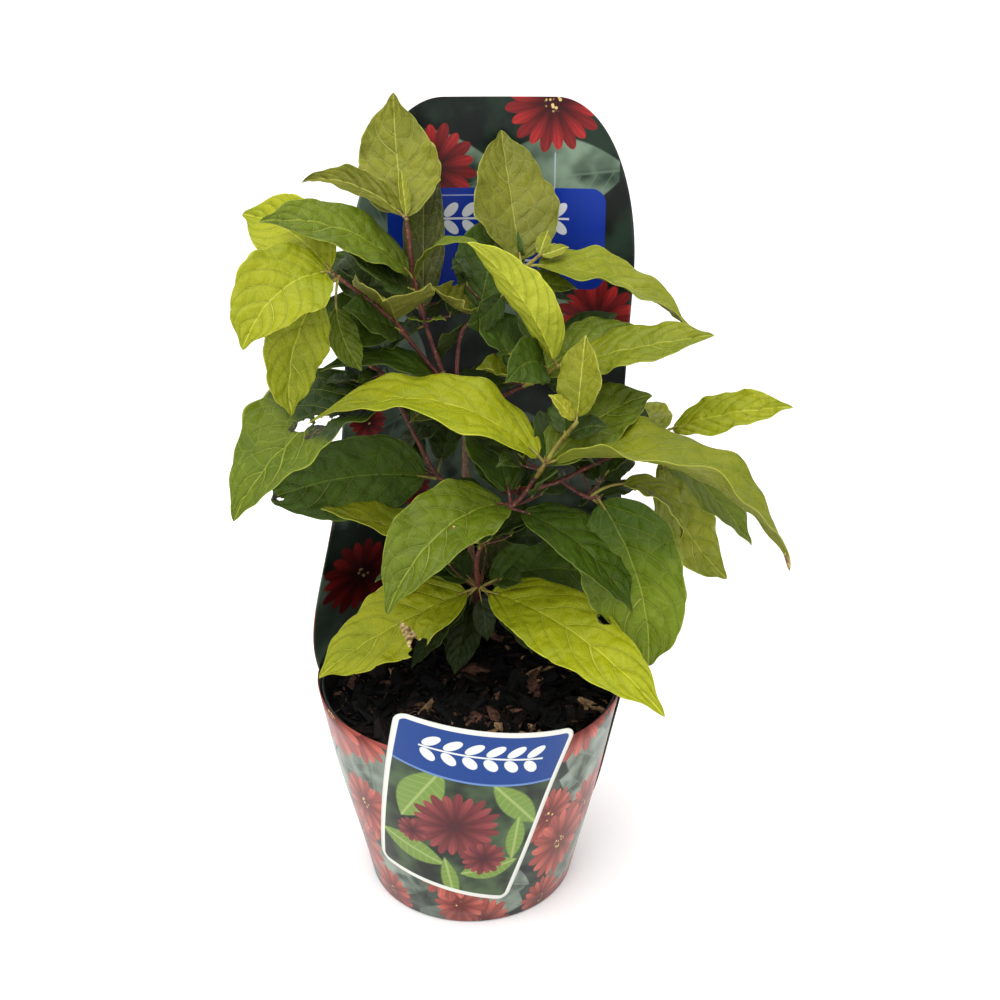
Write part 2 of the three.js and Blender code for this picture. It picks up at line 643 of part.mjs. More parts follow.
// Where a mass has no bough of its own it grows from a swollen ring round a limb
const collarSize = { wall: 1.4, height: 4.2, sides: 10, clearance: 0.7, leafDepth: 0.6 };
function collarPlace(collar) {
  const limb = limbs[collar.on];
  const curve = limbCurve(collar.on);
  const travelled = curve.getLength() * collar.at;
  const inner = limbRadius(limb, collar.at, travelled) + collarSize.clearance;
  return { centre: curve.getPoint(collar.at), axis: curve.getTangent(collar.at), inner };
}

function collarSolid(place) {
  const outer = place.inner + collarSize.wall;
  const half = collarSize.height / 2;
  const ring = revolved([
    [place.inner, -half], [outer, -half / 2], [outer, half / 2], [place.inner, half], [place.inner, -half],
  ], collarSize.sides);
  ring.applyQuaternion(new THREE.Quaternion().setFromUnitVectors(up, place.axis));
  ring.translate(place.centre.x, place.centre.y, place.centre.z);
  return toSolid(ring);
}

function leafFoot(mass, leaf) {
  if (mass.stem) return massStem(mass.stem).getPoint(leaf.at);
  const place = collarPlace(mass.collar);
  const { ahead } = midribAt(leaf, place.centre, 0);
  const sideways = ahead.addScaledVector(place.axis, -ahead.dot(place.axis)).normalize();
  return place.centre.addScaledVector(sideways, place.inner + collarSize.wall * collarSize.leafDepth);
}

// Places on a blade and along the limbs, for keeping leaves apart
const probeShares = [0.12, 0.3, 0.45, 0.6, 0.75, 0.88, 1];
const probeSides = [-1, -0.5, 0, 0.5, 1];
function leafProbes(leaf, foot) {
  const probes = [];
  for (const share of probeShares) {
    const { centre, across } = midribAt(leaf, foot, share);
    const half = leaf.width / 2 * bladeOutline(leaf, share);
    for (const side of probeSides) probes.push(centre.clone().addScaledVector(across, side * half));
  }
  return probes;
}

function limbProbes(name) {
  return limbCurve(name).getPoints(limbs[name].steps * 2);
}

function boardFront(place) {
  const { radius, middle } = boardSection(Math.max(place.z, wrap.rim));
  const side = Math.min(Math.abs(place.x - middle) / radius, 1);
  return board.depth - radius + radius * Math.sqrt(1 - side ** 2);
}

function isFree(probes, name, taken) {
  const { clearance, ownClearance } = innerRule;
  for (const probe of probes) {
    if (probe.y > boardFront(probe) - clearance || probe.z < wrap.rim + clearance) return false;
    for (const other of taken) {
      const apart = other.mass === name ? ownClearance : clearance;
      if (probe.distanceToSquared(other.place) < apart ** 2) return false;
    }
  }
  return true;
}

// Inner leaves stand in opposite pairs that turn from node to node, and one that would touch another
// leaf, a limb or the board, or come out in front of the named leaves, is left out
function growInnerLeaves() {
  const random = makeRandom(innerRule.seed);
  const between = (low, high) => low + (high - low) * random();
  const taken = [];
  const take = (name, places) => places.forEach((place) => taken.push({ mass: name, place }));
  for (const [name, mass] of Object.entries(masses)) {
    for (const leaf of Object.values(mass.leaves)) take(name, leafProbes(leaf, leafFoot(mass, leaf)));
  }
  for (const name of Object.keys(limbs)) take(name, limbProbes(name));
  for (const [name, mass] of Object.entries(masses)) {
    let heading = between(0, 180);
    for (let pair = 0; pair < mass.inner.pairs; pair += 1) {
      heading += innerRule.nodeTurn;
      for (const turn of [0, 180]) {
        const length = mass.inner.length * between(innerRule.shortest, innerRule.longest);
        const leaf = {
          at: (pair + 0.5) / mass.inner.pairs,
          heading: heading + turn + between(-innerRule.swing, innerRule.swing),
          rise: between(innerRule.leastRise, innerRule.mostRise),
          length,
          width: length * innerRule.slimness,
          droop: between(innerRule.leastDroop, innerRule.mostDroop),
          face: between(0, innerRule.mostFace),
        };
        const probes = leafProbes(leaf, leafFoot(mass, leaf));
        const beyondFoot = probes.slice(probeSides.length * 2);
        const showsInFront = Math.sin(radians(leaf.heading)) < innerRule.frontward;
        if (showsInFront || !isFree(beyondFoot, name, taken)) continue;
        mass.leaves[`inner${pair}at${turn}`] = leaf;
        take(name, probes);
      }
    }
  }
}

function makeRandom(seed) {
  let state = seed;
  return () => {
    state = (state * 16807) % 2147483647;
    return state / 2147483647;
  };
}

function stemSolid(stem) {
  const radiusAt = (share) => stem.foot + (stem.tip - stem.foot) * share;
  return toSolid(skinOver(tubeRings(massStem(stem), 0, 1, twigSteps, twigSides, radiusAt)));
}

const rootDepth = { inStem: 0.8, inCollar: 0.4 }; // how far a stalk goes on inside what carries it
function makeMasses() {
  for (const [name, mass] of Object.entries(masses)) {
    let solid = mass.stem ? stemSolid(mass.stem) : collarSolid(collarPlace(mass.collar));
    const sunk = mass.stem ? rootDepth.inStem : rootDepth.inCollar;
    for (const leaf of Object.values(mass.leaves)) {
      solid = solid.add(leafSolid(leaf, leafFoot(mass, leaf), sunk));
    }
    addPart(name, toGeometry(largestPiece(solid).simplify(sliver)), surfaces.leaf);
  }
}

makePot();
makeSoil();
makeWrap();
makeCard();
makeLimbs();
growInnerLeaves();
makeMasses();

export default object;
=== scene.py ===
import itertools
import math
import bpy
import numpy as np
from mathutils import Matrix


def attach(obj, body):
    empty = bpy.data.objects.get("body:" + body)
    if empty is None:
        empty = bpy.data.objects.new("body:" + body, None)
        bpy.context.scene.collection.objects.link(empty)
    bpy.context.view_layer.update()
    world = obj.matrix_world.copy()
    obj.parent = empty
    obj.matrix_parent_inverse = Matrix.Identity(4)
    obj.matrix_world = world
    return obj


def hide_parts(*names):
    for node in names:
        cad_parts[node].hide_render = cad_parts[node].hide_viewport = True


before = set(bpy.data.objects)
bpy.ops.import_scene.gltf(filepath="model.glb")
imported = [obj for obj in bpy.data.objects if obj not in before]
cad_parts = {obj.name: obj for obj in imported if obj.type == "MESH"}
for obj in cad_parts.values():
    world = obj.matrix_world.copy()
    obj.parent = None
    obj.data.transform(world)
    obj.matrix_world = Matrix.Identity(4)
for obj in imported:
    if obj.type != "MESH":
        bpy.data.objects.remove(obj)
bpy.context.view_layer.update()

mm = 0.001  # sizes below are in millimetres, as in the part's source, and meshes are scaled by this
quarterTurn = math.pi / 2
print("frame loaded:", len(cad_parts), "nodes")


def addObject(name, data):
    thing = bpy.data.objects.new(name, data)
    bpy.context.scene.collection.objects.link(thing)
    return thing


def newMesh(name, corners, faces):
    mesh = bpy.data.meshes.new(name)
    mesh.from_pydata(corners, [], faces)
    return mesh


# Camera: stands a little above the crown in front of the pot and looks down on it
photoCamera = {
    "place": (17, -637, 516),
    "pitchDown": 23.8,  # degrees below level
    "lens": 46.8,
    "sensor": 36,
    "farthest": 50,     # metres
}


def placeCamera():
    data = bpy.data.cameras.new("photoCamera")
    data.lens = photoCamera["lens"]
    data.sensor_width = photoCamera["sensor"]
    data.clip_end = photoCamera["farthest"]
    camera = addObject("photoCamera", data)
    camera.location = [value * mm for value in photoCamera["place"]]
    camera.rotation_euler = (math.radians(90 - photoCamera["pitchDown"]), 0, 0)
    bpy.context.scene.camera = camera


placeCamera()
print("camera placed")


# Studio, in metres: one pale sweep of floor and wall, an even white sky and three soft lamps
studio = {
    "sky": 0.88, "floorTone": 0.93, "warmth": (1, 0.998, 0.995),
    "halfWidth": 3.5, "front": -2.5, "bend": 1.6, "bendRadius": 0.7, "bendSteps": 16, "wallTop": 3.2,
}
lamps = {
    "roofLamp": dict(place=(-0.15, -0.25, 2.3), aim=(0, 0, 0), size=2.6, watts=44),
    "keyLamp": dict(place=(-0.7, -1.1, 1.4), aim=(0, 0, 0.25), size=2.2, watts=15),
    "fillLamp": dict(place=(0.9, -1.2, 0.8), aim=(0, 0, 0.2), size=1.2, watts=4),
}


def makeSky():
    world = bpy.data.worlds.new("paleSky")
    bpy.context.scene.world = world
    world.use_nodes = True
    background = world.node_tree.nodes["Background"]
    background.inputs["Color"].default_value = (1, 1, 1, 1)
    background.inputs["Strength"].default_value = studio["sky"]
    bpy.context.scene.view_settings.view_transform = "Standard"


def makeSweep():
    bend, radius = studio["bend"], studio["bendRadius"]
    turns = np.linspace(0, quarterTurn, studio["bendSteps"] + 1)
    profile = [(studio["front"], 0.0)]
    profile += [(bend + radius * math.sin(turn), radius * (1 - math.cos(turn))) for turn in turns]
    profile.append((bend + radius, studio["wallTop"]))
    corners = [(side * studio["halfWidth"], y, z) for y, z in profile for side in (-1, 1)]
    faces = [(2 * row, 2 * row + 1, 2 * row + 3, 2 * row + 2) for row in range(len(profile) - 1)]
    mesh = newMesh("studioSweep", corners, faces)
    mesh.shade_smooth()
    material, place = startMaterial("studioPaper", roughness=0.9)
    tone = studio["floorTone"]
    warm = [tone * share for share in studio["warmth"]]
    paper = mixColours(noiseOf(place, scale=3, detail=2), (tone, tone, tone, 1), (*warm, 1))
    mesh.materials.append(finishMaterial(material, paper))
    addObject("studioSweep", mesh)


def makeLamps():
    for name, lamp in lamps.items():
        data = bpy.data.lights.new(name, "AREA")
        data.shape = "DISK"
        data.size = lamp["size"]
        data.energy = lamp["watts"]
        light = addObject(name, data)
        light.location = lamp["place"]
        x, y, z = np.array(lamp["aim"]) - np.array(lamp["place"])
        light.rotation_euler = (math.atan2(math.hypot(x, y), -z), 0, math.atan2(-x, y))


# Shader helpers
class Wire:  # what a shader node gives out; sums of wires and numbers make the nodes that work them out
    def __init__(self, socket):
        self.socket = socket
        self.tree = socket.id_data

    def __add__(self, other):
        return maths("ADD", self, other)

    def __sub__(self, other):
        return maths("SUBTRACT", self, other)

    def __rsub__(self, other):
        return maths("SUBTRACT", other, self)

    def __mul__(self, other):
        return maths("MULTIPLY", self, other)

    def __truediv__(self, other):
        return maths("DIVIDE", self, other)

    def __pow__(self, other):
        return maths("POWER", self, other)

    def __abs__(self):
        return maths("ABSOLUTE", self)


def addNode(tree, kind, inputs, output=0, **settings):
    node = tree.nodes.new("ShaderNode" + kind)
    for setting, value in settings.items():
        setattr(node, setting, value)
    for name, value in inputs.items():
        if isinstance(value, Wire):
            tree.links.new(value.socket, node.inputs[name])
        else:
            node.inputs[name].default_value = value
    return Wire(node.outputs[output])


def treeOf(values):
    return next(value.tree for value in values if isinstance(value, Wire))


def maths(operation, *values):
    return addNode(treeOf(values), "Math", dict(enumerate(values)), operation=operation)


def largest(first, *others):
    for other in others:
        first = maths("MAXIMUM", first, other)
    return first


def smoothStep(value, low, high):  # 0 below low, 1 above high
    limits = {"Value": value, "From Min": low, "From Max": high}
    return addNode(value.tree, "MapRange", limits, "Result", interpolation_type="SMOOTHSTEP")


def below(value, low, high):  # 1 below low, 0 above high
    return 1 - smoothStep(value, low, high)


def mixColours(share, first, second):
    tree = treeOf([share, first, second])
    return addNode(tree, "Mix", {0: share, 6: first, 7: second}, 2, data_type="RGBA")


def partsOf(wire, kind="SeparateXYZ"):
    first = addNode(wire.tree, kind, {0: wire})
    return [Wire(socket) for socket in first.socket.node.outputs]


def uvOf(tree, layer):
    return partsOf(addNode(tree, "UVMap", {}, uv_map=layer))[:2]


def pointOf(across, along):
    return addNode(across.tree, "CombineXYZ", {0: across, 1: along})


def noiseOf(place, scale, detail=3.0, rough=0.55):
    values = {"Vector": place, "Scale": scale, "Detail": detail, "Roughness": rough}
    return addNode(place.tree, "TexNoise", values, "Fac")


def cellsOf(place, scale, feature="DISTANCE_TO_EDGE"):
    return addNode(place.tree, "TexVoronoi", {"Vector": place, "Scale": scale}, "Distance", feature=feature)


def scaled(value, factor):
    return addNode(value.tree, "VectorMath", {0: value, "Scale": factor}, operation="SCALE")


def colour(red, green, blue):  # a screen colour, 0 to 255, as a shader takes it
    shares = [value / 255 for value in (red, green, blue)]
    linear = [share / 12.92 if share < 0.04045 else ((share + 0.055) / 1.055) ** 2.4 for share in shares]
    return (*linear, 1.0)


def colours(*tones):
    return [colour(*tone) for tone in tones]


def startMaterial(name, roughness, specular=0.5):  # and the place on the object, in metres
    material = bpy.data.materials.new(name)
    material.use_nodes = True
    shader = material.node_tree.nodes["Principled BSDF"]
    shader.inputs["Roughness"].default_value = roughness
    shader.inputs["Specular IOR Level"].default_value = specular
    return material, addNode(material.node_tree, "TexCoord", {}, "Object")


def finishMaterial(material, look, height=None, depth=1.0, strength=1.0):  # depth in mm for a height of 1
    tree = material.node_tree
    shader = tree.nodes["Principled BSDF"]
    tree.links.new(look.socket, shader.inputs["Base Color"])
    if height is not None:
        relief = {"Strength": strength, "Distance": depth * mm, "Height": height}
        tree.links.new(addNode(tree, "Bump", relief, "Normal").socket, shader.inputs["Normal"])
    return material


# Mesh helpers: every piece rides on the one body
def addPiece(name, corners, faces, materials, nodes=(), faceMaterial=None, uvLayers=None):
    mesh = newMesh(name, (np.asarray(corners) * mm).tolist(), [list(face) for face in faces])
    for material in materials:
        mesh.materials.append(material)
    if faceMaterial is not None:
        mesh.polygons.foreach_set("material_index", np.asarray(faceMaterial, dtype=np.int32))
    order = np.zeros(len(mesh.loops), dtype=np.int32)
    mesh.loops.foreach_get("vertex_index", order)
    for layer, values in (uvLayers or {}).items():
        uv = mesh.uv_layers.new(name=layer)
        uv.data.foreach_set("uv", np.asarray(values, dtype=np.float32)[order].ravel())
    mesh.shade_smooth()
    mesh.update()
    piece = addObject(name, mesh)
    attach(piece, "root")
    if nodes:
        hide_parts(*nodes)
    return piece


class MeshPile:  # corners and faces of many small bodies, joined into one piece
    def __init__(self, *layers):
        self.corners = []
        self.faces = []
        self.kinds = []
        self.layers = {layer: [] for layer in layers}
        self.count = 0

    def add(self, corners, faces, kind=0, **layers):
        self.faces.extend((np.asarray(faces) + self.count).tolist())
        self.kinds.extend(kind if np.ndim(kind) else [kind] * len(faces))
        self.corners.append(np.asarray(corners))
        for layer, values in layers.items():
            self.layers[layer].append(values)
        self.count += len(corners)

    def make(self, name, materials, slot, nodes=()):
        layers = {layer: np.vstack(values) for layer, values in self.layers.items() if values}
        corners = np.vstack(self.corners)
        return addPiece(name, corners, self.faces, materials, nodes, self.kinds, layers)


def revolve(profile, segments):  # a profile that starts and ends on the axis gives a closed body
    turns = np.arange(segments) * 2 * math.pi / segments
    corners, rings = [], []
    for radius, height in profile:
        if radius < 1e-6:
            rings.append([len(corners)] * segments)
            corners.append((0, 0, height))
            continue
        rings.append(list(range(len(corners), len(corners) + segments)))
        corners.extend((radius * math.cos(turn), radius * math.sin(turn), height) for turn in turns)
    faces = []
    for lower, upper in zip(rings, rings[1:]):
        for side in range(segments):
            after = (side + 1) % segments
            loop = [lower[side], lower[after], upper[after], upper[side]]
            faces.append(list(dict.fromkeys(loop)))
    return np.array(corners), faces


def roundedCorner(centre, radius, first, last, steps=5):  # an arc of a revolved profile, in degrees
    turns = [math.radians(first + (last - first) * step / steps) for step in range(steps + 1)]
    return [(centre[0] + radius * math.cos(turn), centre[1] + radius * math.sin(turn)) for turn in turns]


def makeSheet(name, node, materials, spot, rows, columns, mirrored=False):
    # spot(skin, row, column) gives a corner, and its place on the print: skin 0 is the outer one, 1 the inner
    spots = [spot(skin, row, column) for skin in (0, 1) for row in range(rows) for column in range(columns)]
    points, prints = zip(*spots)
    faces, kinds = sheetFaces(rows, columns)
    if mirrored:
        faces = [face[::-1] for face in faces]
    addPiece(name, points, faces, materials, [node], kinds, {"printUv": prints})


def sheetFaces(rows, across):  # outer skin, then inner skin, joined along the open edges
    skin = rows * across
    faces, kinds = [], []
    for row in range(rows - 1):
        for column in range(across - 1):
            a = row * across + column
            faces.append([a, a + 1, a + 1 + across, a + across])
            faces.append([skin + a + across, skin + a + across + 1, skin + a + 1, skin + a])
            kinds += [0, 1]
    bottom = list(range(across))
    right = [row * across + across - 1 for row in range(rows)]
    top = [(rows - 1) * across + column for column in reversed(range(across))]
    left = [row * across for row in reversed(range(rows))]
    for edge in (bottom, right, top, left):
        for a, b in zip(edge, edge[1:]):
            faces.append([b, a, skin + a, skin + b])
            kinds.append(0)
    return faces, kinds


# Pot: a black bucket with a rolled lip and drain holes, turned inside and out
pot = {
    "height": 127, "rimRadius": 84.1, "lipDrop": 9, "lipRound": 1.0,
    "shoulderRadius": 82, "baseRadius": 57, "wall": 1.6, "floor": 3,
    "edge": 1.5,  # rounding of the underside's rim
    "holes": 6, "holeRadius": 5, "holeCircle": 42,
    "segments": 144,
}
chance = np.random.default_rng(11)


def potRadius(height):
    slope = (pot["shoulderRadius"] - pot["baseRadius"]) / (pot["height"] - pot["lipDrop"])
    return pot["baseRadius"] + slope * height


def potMaterial():
    material, place = startMaterial("blackPotPlastic", roughness=0.42)
    dust = smoothStep(noiseOf(place, scale=40, detail=5), 0.5, 0.8)
    plastic = mixColours(dust, colour(22, 22, 23), colour(44, 42, 40))
    return finishMaterial(material, plastic, noiseOf(place, scale=900, detail=2), depth=0.06)


def makePot():
    edge, lip, wall, rim = pot["edge"], pot["lipRound"], pot["wall"], pot["rimRadius"]
    top, shoulder = pot["height"], pot["height"] - pot["lipDrop"]
    profile = [(0, 0)]
    profile += roundedCorner((pot["baseRadius"] - edge, edge), edge, -90, -12)
    profile += [(potRadius(shoulder - 4), shoulder - 4), (potRadius(shoulder), shoulder)]
    profile += [(rim - 1.1, shoulder + 1)]
    profile += roundedCorner((rim - lip, top - lip), lip, 0, 180, steps=8)
    profile += [(rim - 2 * lip, shoulder + 1), (potRadius(shoulder) - wall, shoulder - 1)]
    profile += [(potRadius(shoulder * share) - wall, shoulder * share) for share in (0.7, 0.4, 0.1)]
    profile += [(potRadius(pot["floor"]) - wall - 1, pot["floor"]), (0, pot["floor"])]
    corners, faces = revolve(profile, pot["segments"])
    bucket = addPiece("pot_shell", corners, faces, [potMaterial()], ["pot"])
    for hole in range(pot["holes"]):
        drillHole(bucket, hole / pot["holes"] * 2 * math.pi)


def drillHole(bucket, turn):
    low, high, radius = -pot["floor"], 3 * pot["floor"], pot["holeRadius"]
    corners, faces = revolve([(0, low), (radius, low), (radius, high), (0, high)], 32)
    corners += [pot["holeCircle"] * math.cos(turn), pot["holeCircle"] * math.sin(turn), 0]
    drill = addObject("drill", newMesh("drill", (corners * mm).tolist(), faces))
    cut = bucket.modifiers.new("drain", "BOOLEAN")
    cut.operation = "DIFFERENCE"
    cut.solver = "EXACT"
    cut.object = drill
    shaped = bucket.evaluated_get(bpy.context.evaluated_depsgraph_get())
    drilled = bpy.data.meshes.new_from_object(shaped)
    bucket.modifiers.clear()
    bucket.data = drilled
    bpy.data.objects.remove(drill)


# Soil: damp bark mix, a crumbly heap with chips, crumbs and fine dry roots lying on it
soil = {
    "top": 118, "edgeDrop": 1.5, "edgeRun": 12, "clearance": 0.3,
    "roughness": 1.1,  # height of the lumps
    "rings": 56, "segments": 132,
    "sink": 2.2,       # how far the heap lies below its chips
}
barkTones = {
    "blackBark": ((2, 2, 2), (11, 9, 8)),
    "darkBark": ((8, 6, 5), (26, 18, 14)),
    "brownBark": ((42, 27, 21), (102, 72, 58)),
    "tanBark": ((100, 76, 54), (168, 136, 100)),
}
barkChips = {  # tones: the share of each kind of bark above
    "coarse": dict(count=430, length=(10, 25), tones=(0.62, 0.2, 0.13, 0.05)),
    "middling": dict(count=1100, length=(4, 10), tones=(0.7, 0.2, 0.085, 0.015)),
    "crumbs": dict(count=1300, length=(1.6, 4), tones=(0.68, 0.24, 0.07, 0.01)),
}
dryRoots = {"count": 30, "length": (8, 26), "radius": (0.12, 0.3), "steps": 8}


def soilRadius(height):
    return potRadius(height) - pot["wall"] - soil["clearance"]


def soilHeight(x, y):
    fall = np.clip((np.hypot(x, y) - (soilRadius(soil["top"]) - soil["edgeRun"])) / soil["edgeRun"], 0, 1)
    lumps = np.sin(x * 0.21 + 1.3) * np.sin(y * 0.19 + 0.4) + 0.6 * np.sin(x * 0.47 + y * 0.33)
    return soil["top"] - soil["sink"] - soil["edgeDrop"] * fall + 0.55 * soil["roughness"] * lumps


def soilMaterial(name, dark, light):
    material, place = startMaterial(name, roughness=0.7, specular=0.12)
    grain = noiseOf(place, scale=420, detail=6, rough=0.65)
    bark = mixColours(smoothStep(grain, 0.32, 0.7), colour(*dark), colour(*light))
    return finishMaterial(material, bark, grain, depth=0.5)


def makeSoil():
    inner = soilRadius(soil["top"])
    foot = pot["floor"] + soil["clearance"]
    profile = [(0, foot), (soilRadius(foot), foot)]
    profile += [(inner - 0.2, soil["top"] - soil["edgeDrop"] - soil["sink"])]
    profile += [(inner * (1 - ring / soil["rings"]), 0) for ring in range(1, soil["rings"] + 1)]
    corners, faces = revolve(profile, soil["segments"])
    surface = corners[:, 2] < 1
    crumble = chance.uniform(-0.5, 0.5, surface.sum()) * soil["roughness"]
    corners[surface, 2] = soilHeight(corners[surface, 0], corners[surface, 1]) + crumble
    material = soilMaterial("dampBarkMix", (1, 1, 1), (6, 5, 4))
    addPiece("soil_heap", corners, faces, [material], ["soil"])
    makeBarkChips(inner)
    makeDryRoots(inner)


def barkChip(length):  # a split shard: three uneven rings of six corners
    wide = length * chance.uniform(0.32, 0.66)
    thick = max(0.7, length * chance.uniform(0.16, 0.34))
    turns = np.arange(6) * math.pi / 3 + chance.uniform(-0.3, 0.3, 6)
    bend = chance.uniform(-0.12, 0.12) * length
    rings = []
    for place, size in ((-0.5, chance.uniform(0.2, 0.8)), (0.05, 1.0), (0.5, chance.uniform(0.15, 0.8))):
        ragged = size * chance.uniform(0.75, 1.15, 6)
        along = place * length + chance.uniform(-0.1, 0.1, 6) * length
        flat = wide / 2 * np.cos(turns) * ragged
        deep = thick / 2 * np.sin(turns) * ragged + bend * (abs(place) * 2) ** 2
        rings.append(np.column_stack([along, flat, deep]))
    return np.vstack(rings)


chipFaces = [[ring + side, ring + (side + 1) % 6, ring + 6 + (side + 1) % 6, ring + 6 + side]
             for ring in (0, 6) for side in range(6)]
chipFaces += [[0, 5, 4, 3], [0, 3, 2, 1], [12, 13, 14, 15], [12, 15, 16, 17]]


def turnedBy(corners, yaw, pitch, roll):
    cosYaw, sinYaw = math.cos(yaw), math.sin(yaw)
    cosPitch, sinPitch = math.cos(pitch), math.sin(pitch)
    cosRoll, sinRoll = math.cos(roll), math.sin(roll)
    spin = np.array([[cosYaw, -sinYaw, 0], [sinYaw, cosYaw, 0], [0, 0, 1]])
    tip = np.array([[cosPitch, 0, sinPitch], [0, 1, 0], [-sinPitch, 0, cosPitch]])
    lean = np.array([[1, 0, 0], [0, cosRoll, -sinRoll], [0, sinRoll, cosRoll]])
    return corners @ (spin @ tip @ lean).T


def makeBarkChips(inner):
    piles = {tone: MeshPile() for tone in barkTones}
    stemFoot = np.array(limbs["main_stem"]["path"][0][:2])
    for group in barkChips.values():
        for _ in range(group["count"]):
            length = chance.uniform(*group["length"])
            radius = (inner - length * 0.45 - 1) * math.sqrt(chance.uniform(0, 1))
            turn = chance.uniform(0, 2 * math.pi)
            place = np.array([radius * math.cos(turn), radius * math.sin(turn)])
            yaw, pitch, roll = chance.uniform(0, 6.28), chance.normal(0, 0.36), chance.normal(0, 0.6)
            tone = list(barkTones)[chance.choice(4, p=group["tones"])]
            lift = chance.uniform(0.2, 3.4)
            if np.linalg.norm(place - stemFoot) < length / 2 + 5:
                continue
            height = float(soilHeight(place[0], place[1])) + lift
            chip = turnedBy(barkChip(length), yaw, pitch, roll) + [place[0], place[1], height]
            piles[tone].add(chip, chipFaces)
    for tone, pile in piles.items():
        piece = pile.make("soil_" + tone, [soilMaterial(tone, *barkTones[tone])], "soil")
        piece.data.shade_flat()


def makeDryRoots(inner):
    pile = MeshPile()
    steps = dryRoots["steps"]
    for _ in range(dryRoots["count"]):
        length = chance.uniform(*dryRoots["length"])
        radius = (inner - length * 0.7) * math.sqrt(chance.uniform(0.02, 1))
        turn, heading = chance.uniform(0, 6.28, 2)
        place = np.array([radius * math.cos(turn), radius * math.sin(turn)])
        points = []
        for step in range(steps + 1):
            points.append((*place, float(soilHeight(*place)) + 2.6 + 1.2 * math.sin(step * 0.9 + turn)))
            heading += chance.normal(0, 0.22)
            place = place + length / steps * np.array([math.cos(heading), math.sin(heading)])
        thick = chance.uniform(*dryRoots["radius"])
        radii = [thick * (1 - 0.6 * step / steps) for step in range(steps + 1)]
        pile.add(*tube(np.array(points), radii, 6))
    material = soilMaterial("dryRoot", (96, 78, 56), (150, 130, 100))
    pile.make("soil_dry_roots", [material], "soil")


# Wrap: one glossy printed sheet, a cone round the pot whose rear half goes up as the back board
wrap = {
    "bottom": 1, "rim": 130, "baseRadius": 59.7, "rimRadius": 86,
    "sheet": 0.5, "ripple": 1.7,
    "columns": 176, "sleeveRows": 14,
}
wrapFlap = {  # loose end of the sheet at the right seam
    "turn": 0.15, "foot": 48, "top": 131.5, "lift": 0.9, "skins": (0.9, 0.5), "rows": 16, "steps": 12,
}
board = {
    "top": 433, "halfWidth": 80, "cornerWidth": 50, "cornerHeight": 100, "leanPerHeight": 0.056,
    "depth": 86, "edgeDepth": 78, "edgeRun": 55, "spreadRun": 35, "rimSpread": 6, "flare": 34,
    "rows": 44, "rowCrowding": 1.5, "cornerRows": 36,
    "ripple": 0.5, "rippleRun": 60,  # slight waves in the plastic, which set in above the rim
}


def wrapRadius(height):
    return wrap["baseRadius"] + (wrap["rimRadius"] - wrap["baseRadius"]) * (height / wrap["rim"])


def sleeveRadius(turn, height):  # the sheet stands off the pot a little, in slow waves
    swell = 0.5 + 0.5 * math.sin(3 * turn + height / 26) * math.cos(2 * turn - 0.6)
    return wrapRadius(height) + wrap["ripple"] * swell * math.sin(math.pi * height / wrap["rim"])


def onSleeve(turn, height, radius):  # a point, and its place on the print in mm
    place = (radius * math.cos(turn), radius * math.sin(turn), height)
    return place, ((quarterTurn - turn) * wrap["rimRadius"], height)


def boardSection(height):
    rise = height - wrap["rim"]
    spread = math.exp(-rise / board["spreadRun"])
    edgeY = board["edgeDepth"] * (1 - math.exp(-rise / board["edgeRun"]))
    corner = max(0.0, 1 - (board["top"] - height) / board["cornerHeight"])
    cut = board["cornerWidth"] * (1 - math.sqrt(max(0.0, 1 - corner ** 2)))
    half = board["halfWidth"] + board["rimSpread"] * spread + board["flare"] * spread * (1 - spread)
    sag = board["depth"] - edgeY
    radius = (half ** 2 + sag ** 2) / (2 * sag)
    reach = math.atan2(half, radius - sag) * (half - cut) / half
    return radius, reach, rise * board["leanPerHeight"]


def boardHeights():
    straightTop = board["top"] - board["cornerHeight"]
    shares = (np.arange(board["rows"]) + 1) / board["rows"]
    straight = wrap["rim"] + (straightTop - wrap["rim"]) * shares ** board["rowCrowding"]
    turns = (np.arange(board["cornerRows"]) + 1) / board["cornerRows"] * quarterTurn
    return [wrap["rim"], *straight, *(straightTop + board["cornerHeight"] * np.sin(turns))]


def wrapPoint(height, turn, inward):
    if height <= wrap["rim"]:
        return onSleeve(turn, height, sleeveRadius(turn, height) - inward)
    radius, reach, middle = boardSection(height)
    side = reach * (1 - turn * 2 / math.pi)
    settled = min(1.0, (height - wrap["rim"]) / board["rippleRun"])
    out = radius - inward + board["ripple"] * settled * math.sin(height / 37 + 1) * math.cos(side * 5)
    across = middle + out * math.sin(side)
    return (across, board["depth"] - radius + out * math.cos(side), height), (across, height)


def makeWrap():
    materials = [printMaterial("sleevePrint", "sleeve"), printMaterial("boardPrint", "board")]
    sleeve = np.linspace(wrap["bottom"], wrap["rim"], wrap["sleeveRows"])
    makeWrapPiece("wrap_sleeve", sleeve, wrap["columns"], materials)
    makeWrapPiece("wrap_back_board", boardHeights(), wrap["columns"] // 2, materials)
    rows, columns = wrapFlap["rows"], wrapFlap["steps"] + 1
    makeSheet("wrap_loose_end", "wrap", [materials[0]] * 2, flapSpot, rows, columns, mirrored=True)


def makeWrapPiece(name, heights, columns, materials):
    def spot(skin, row, column):
        return wrapPoint(heights[row], column / wrap["columns"] * 2 * math.pi, skin * wrap["sheet"])

    makeSheet(name, "wrap", materials, spot, len(heights), columns + 1)


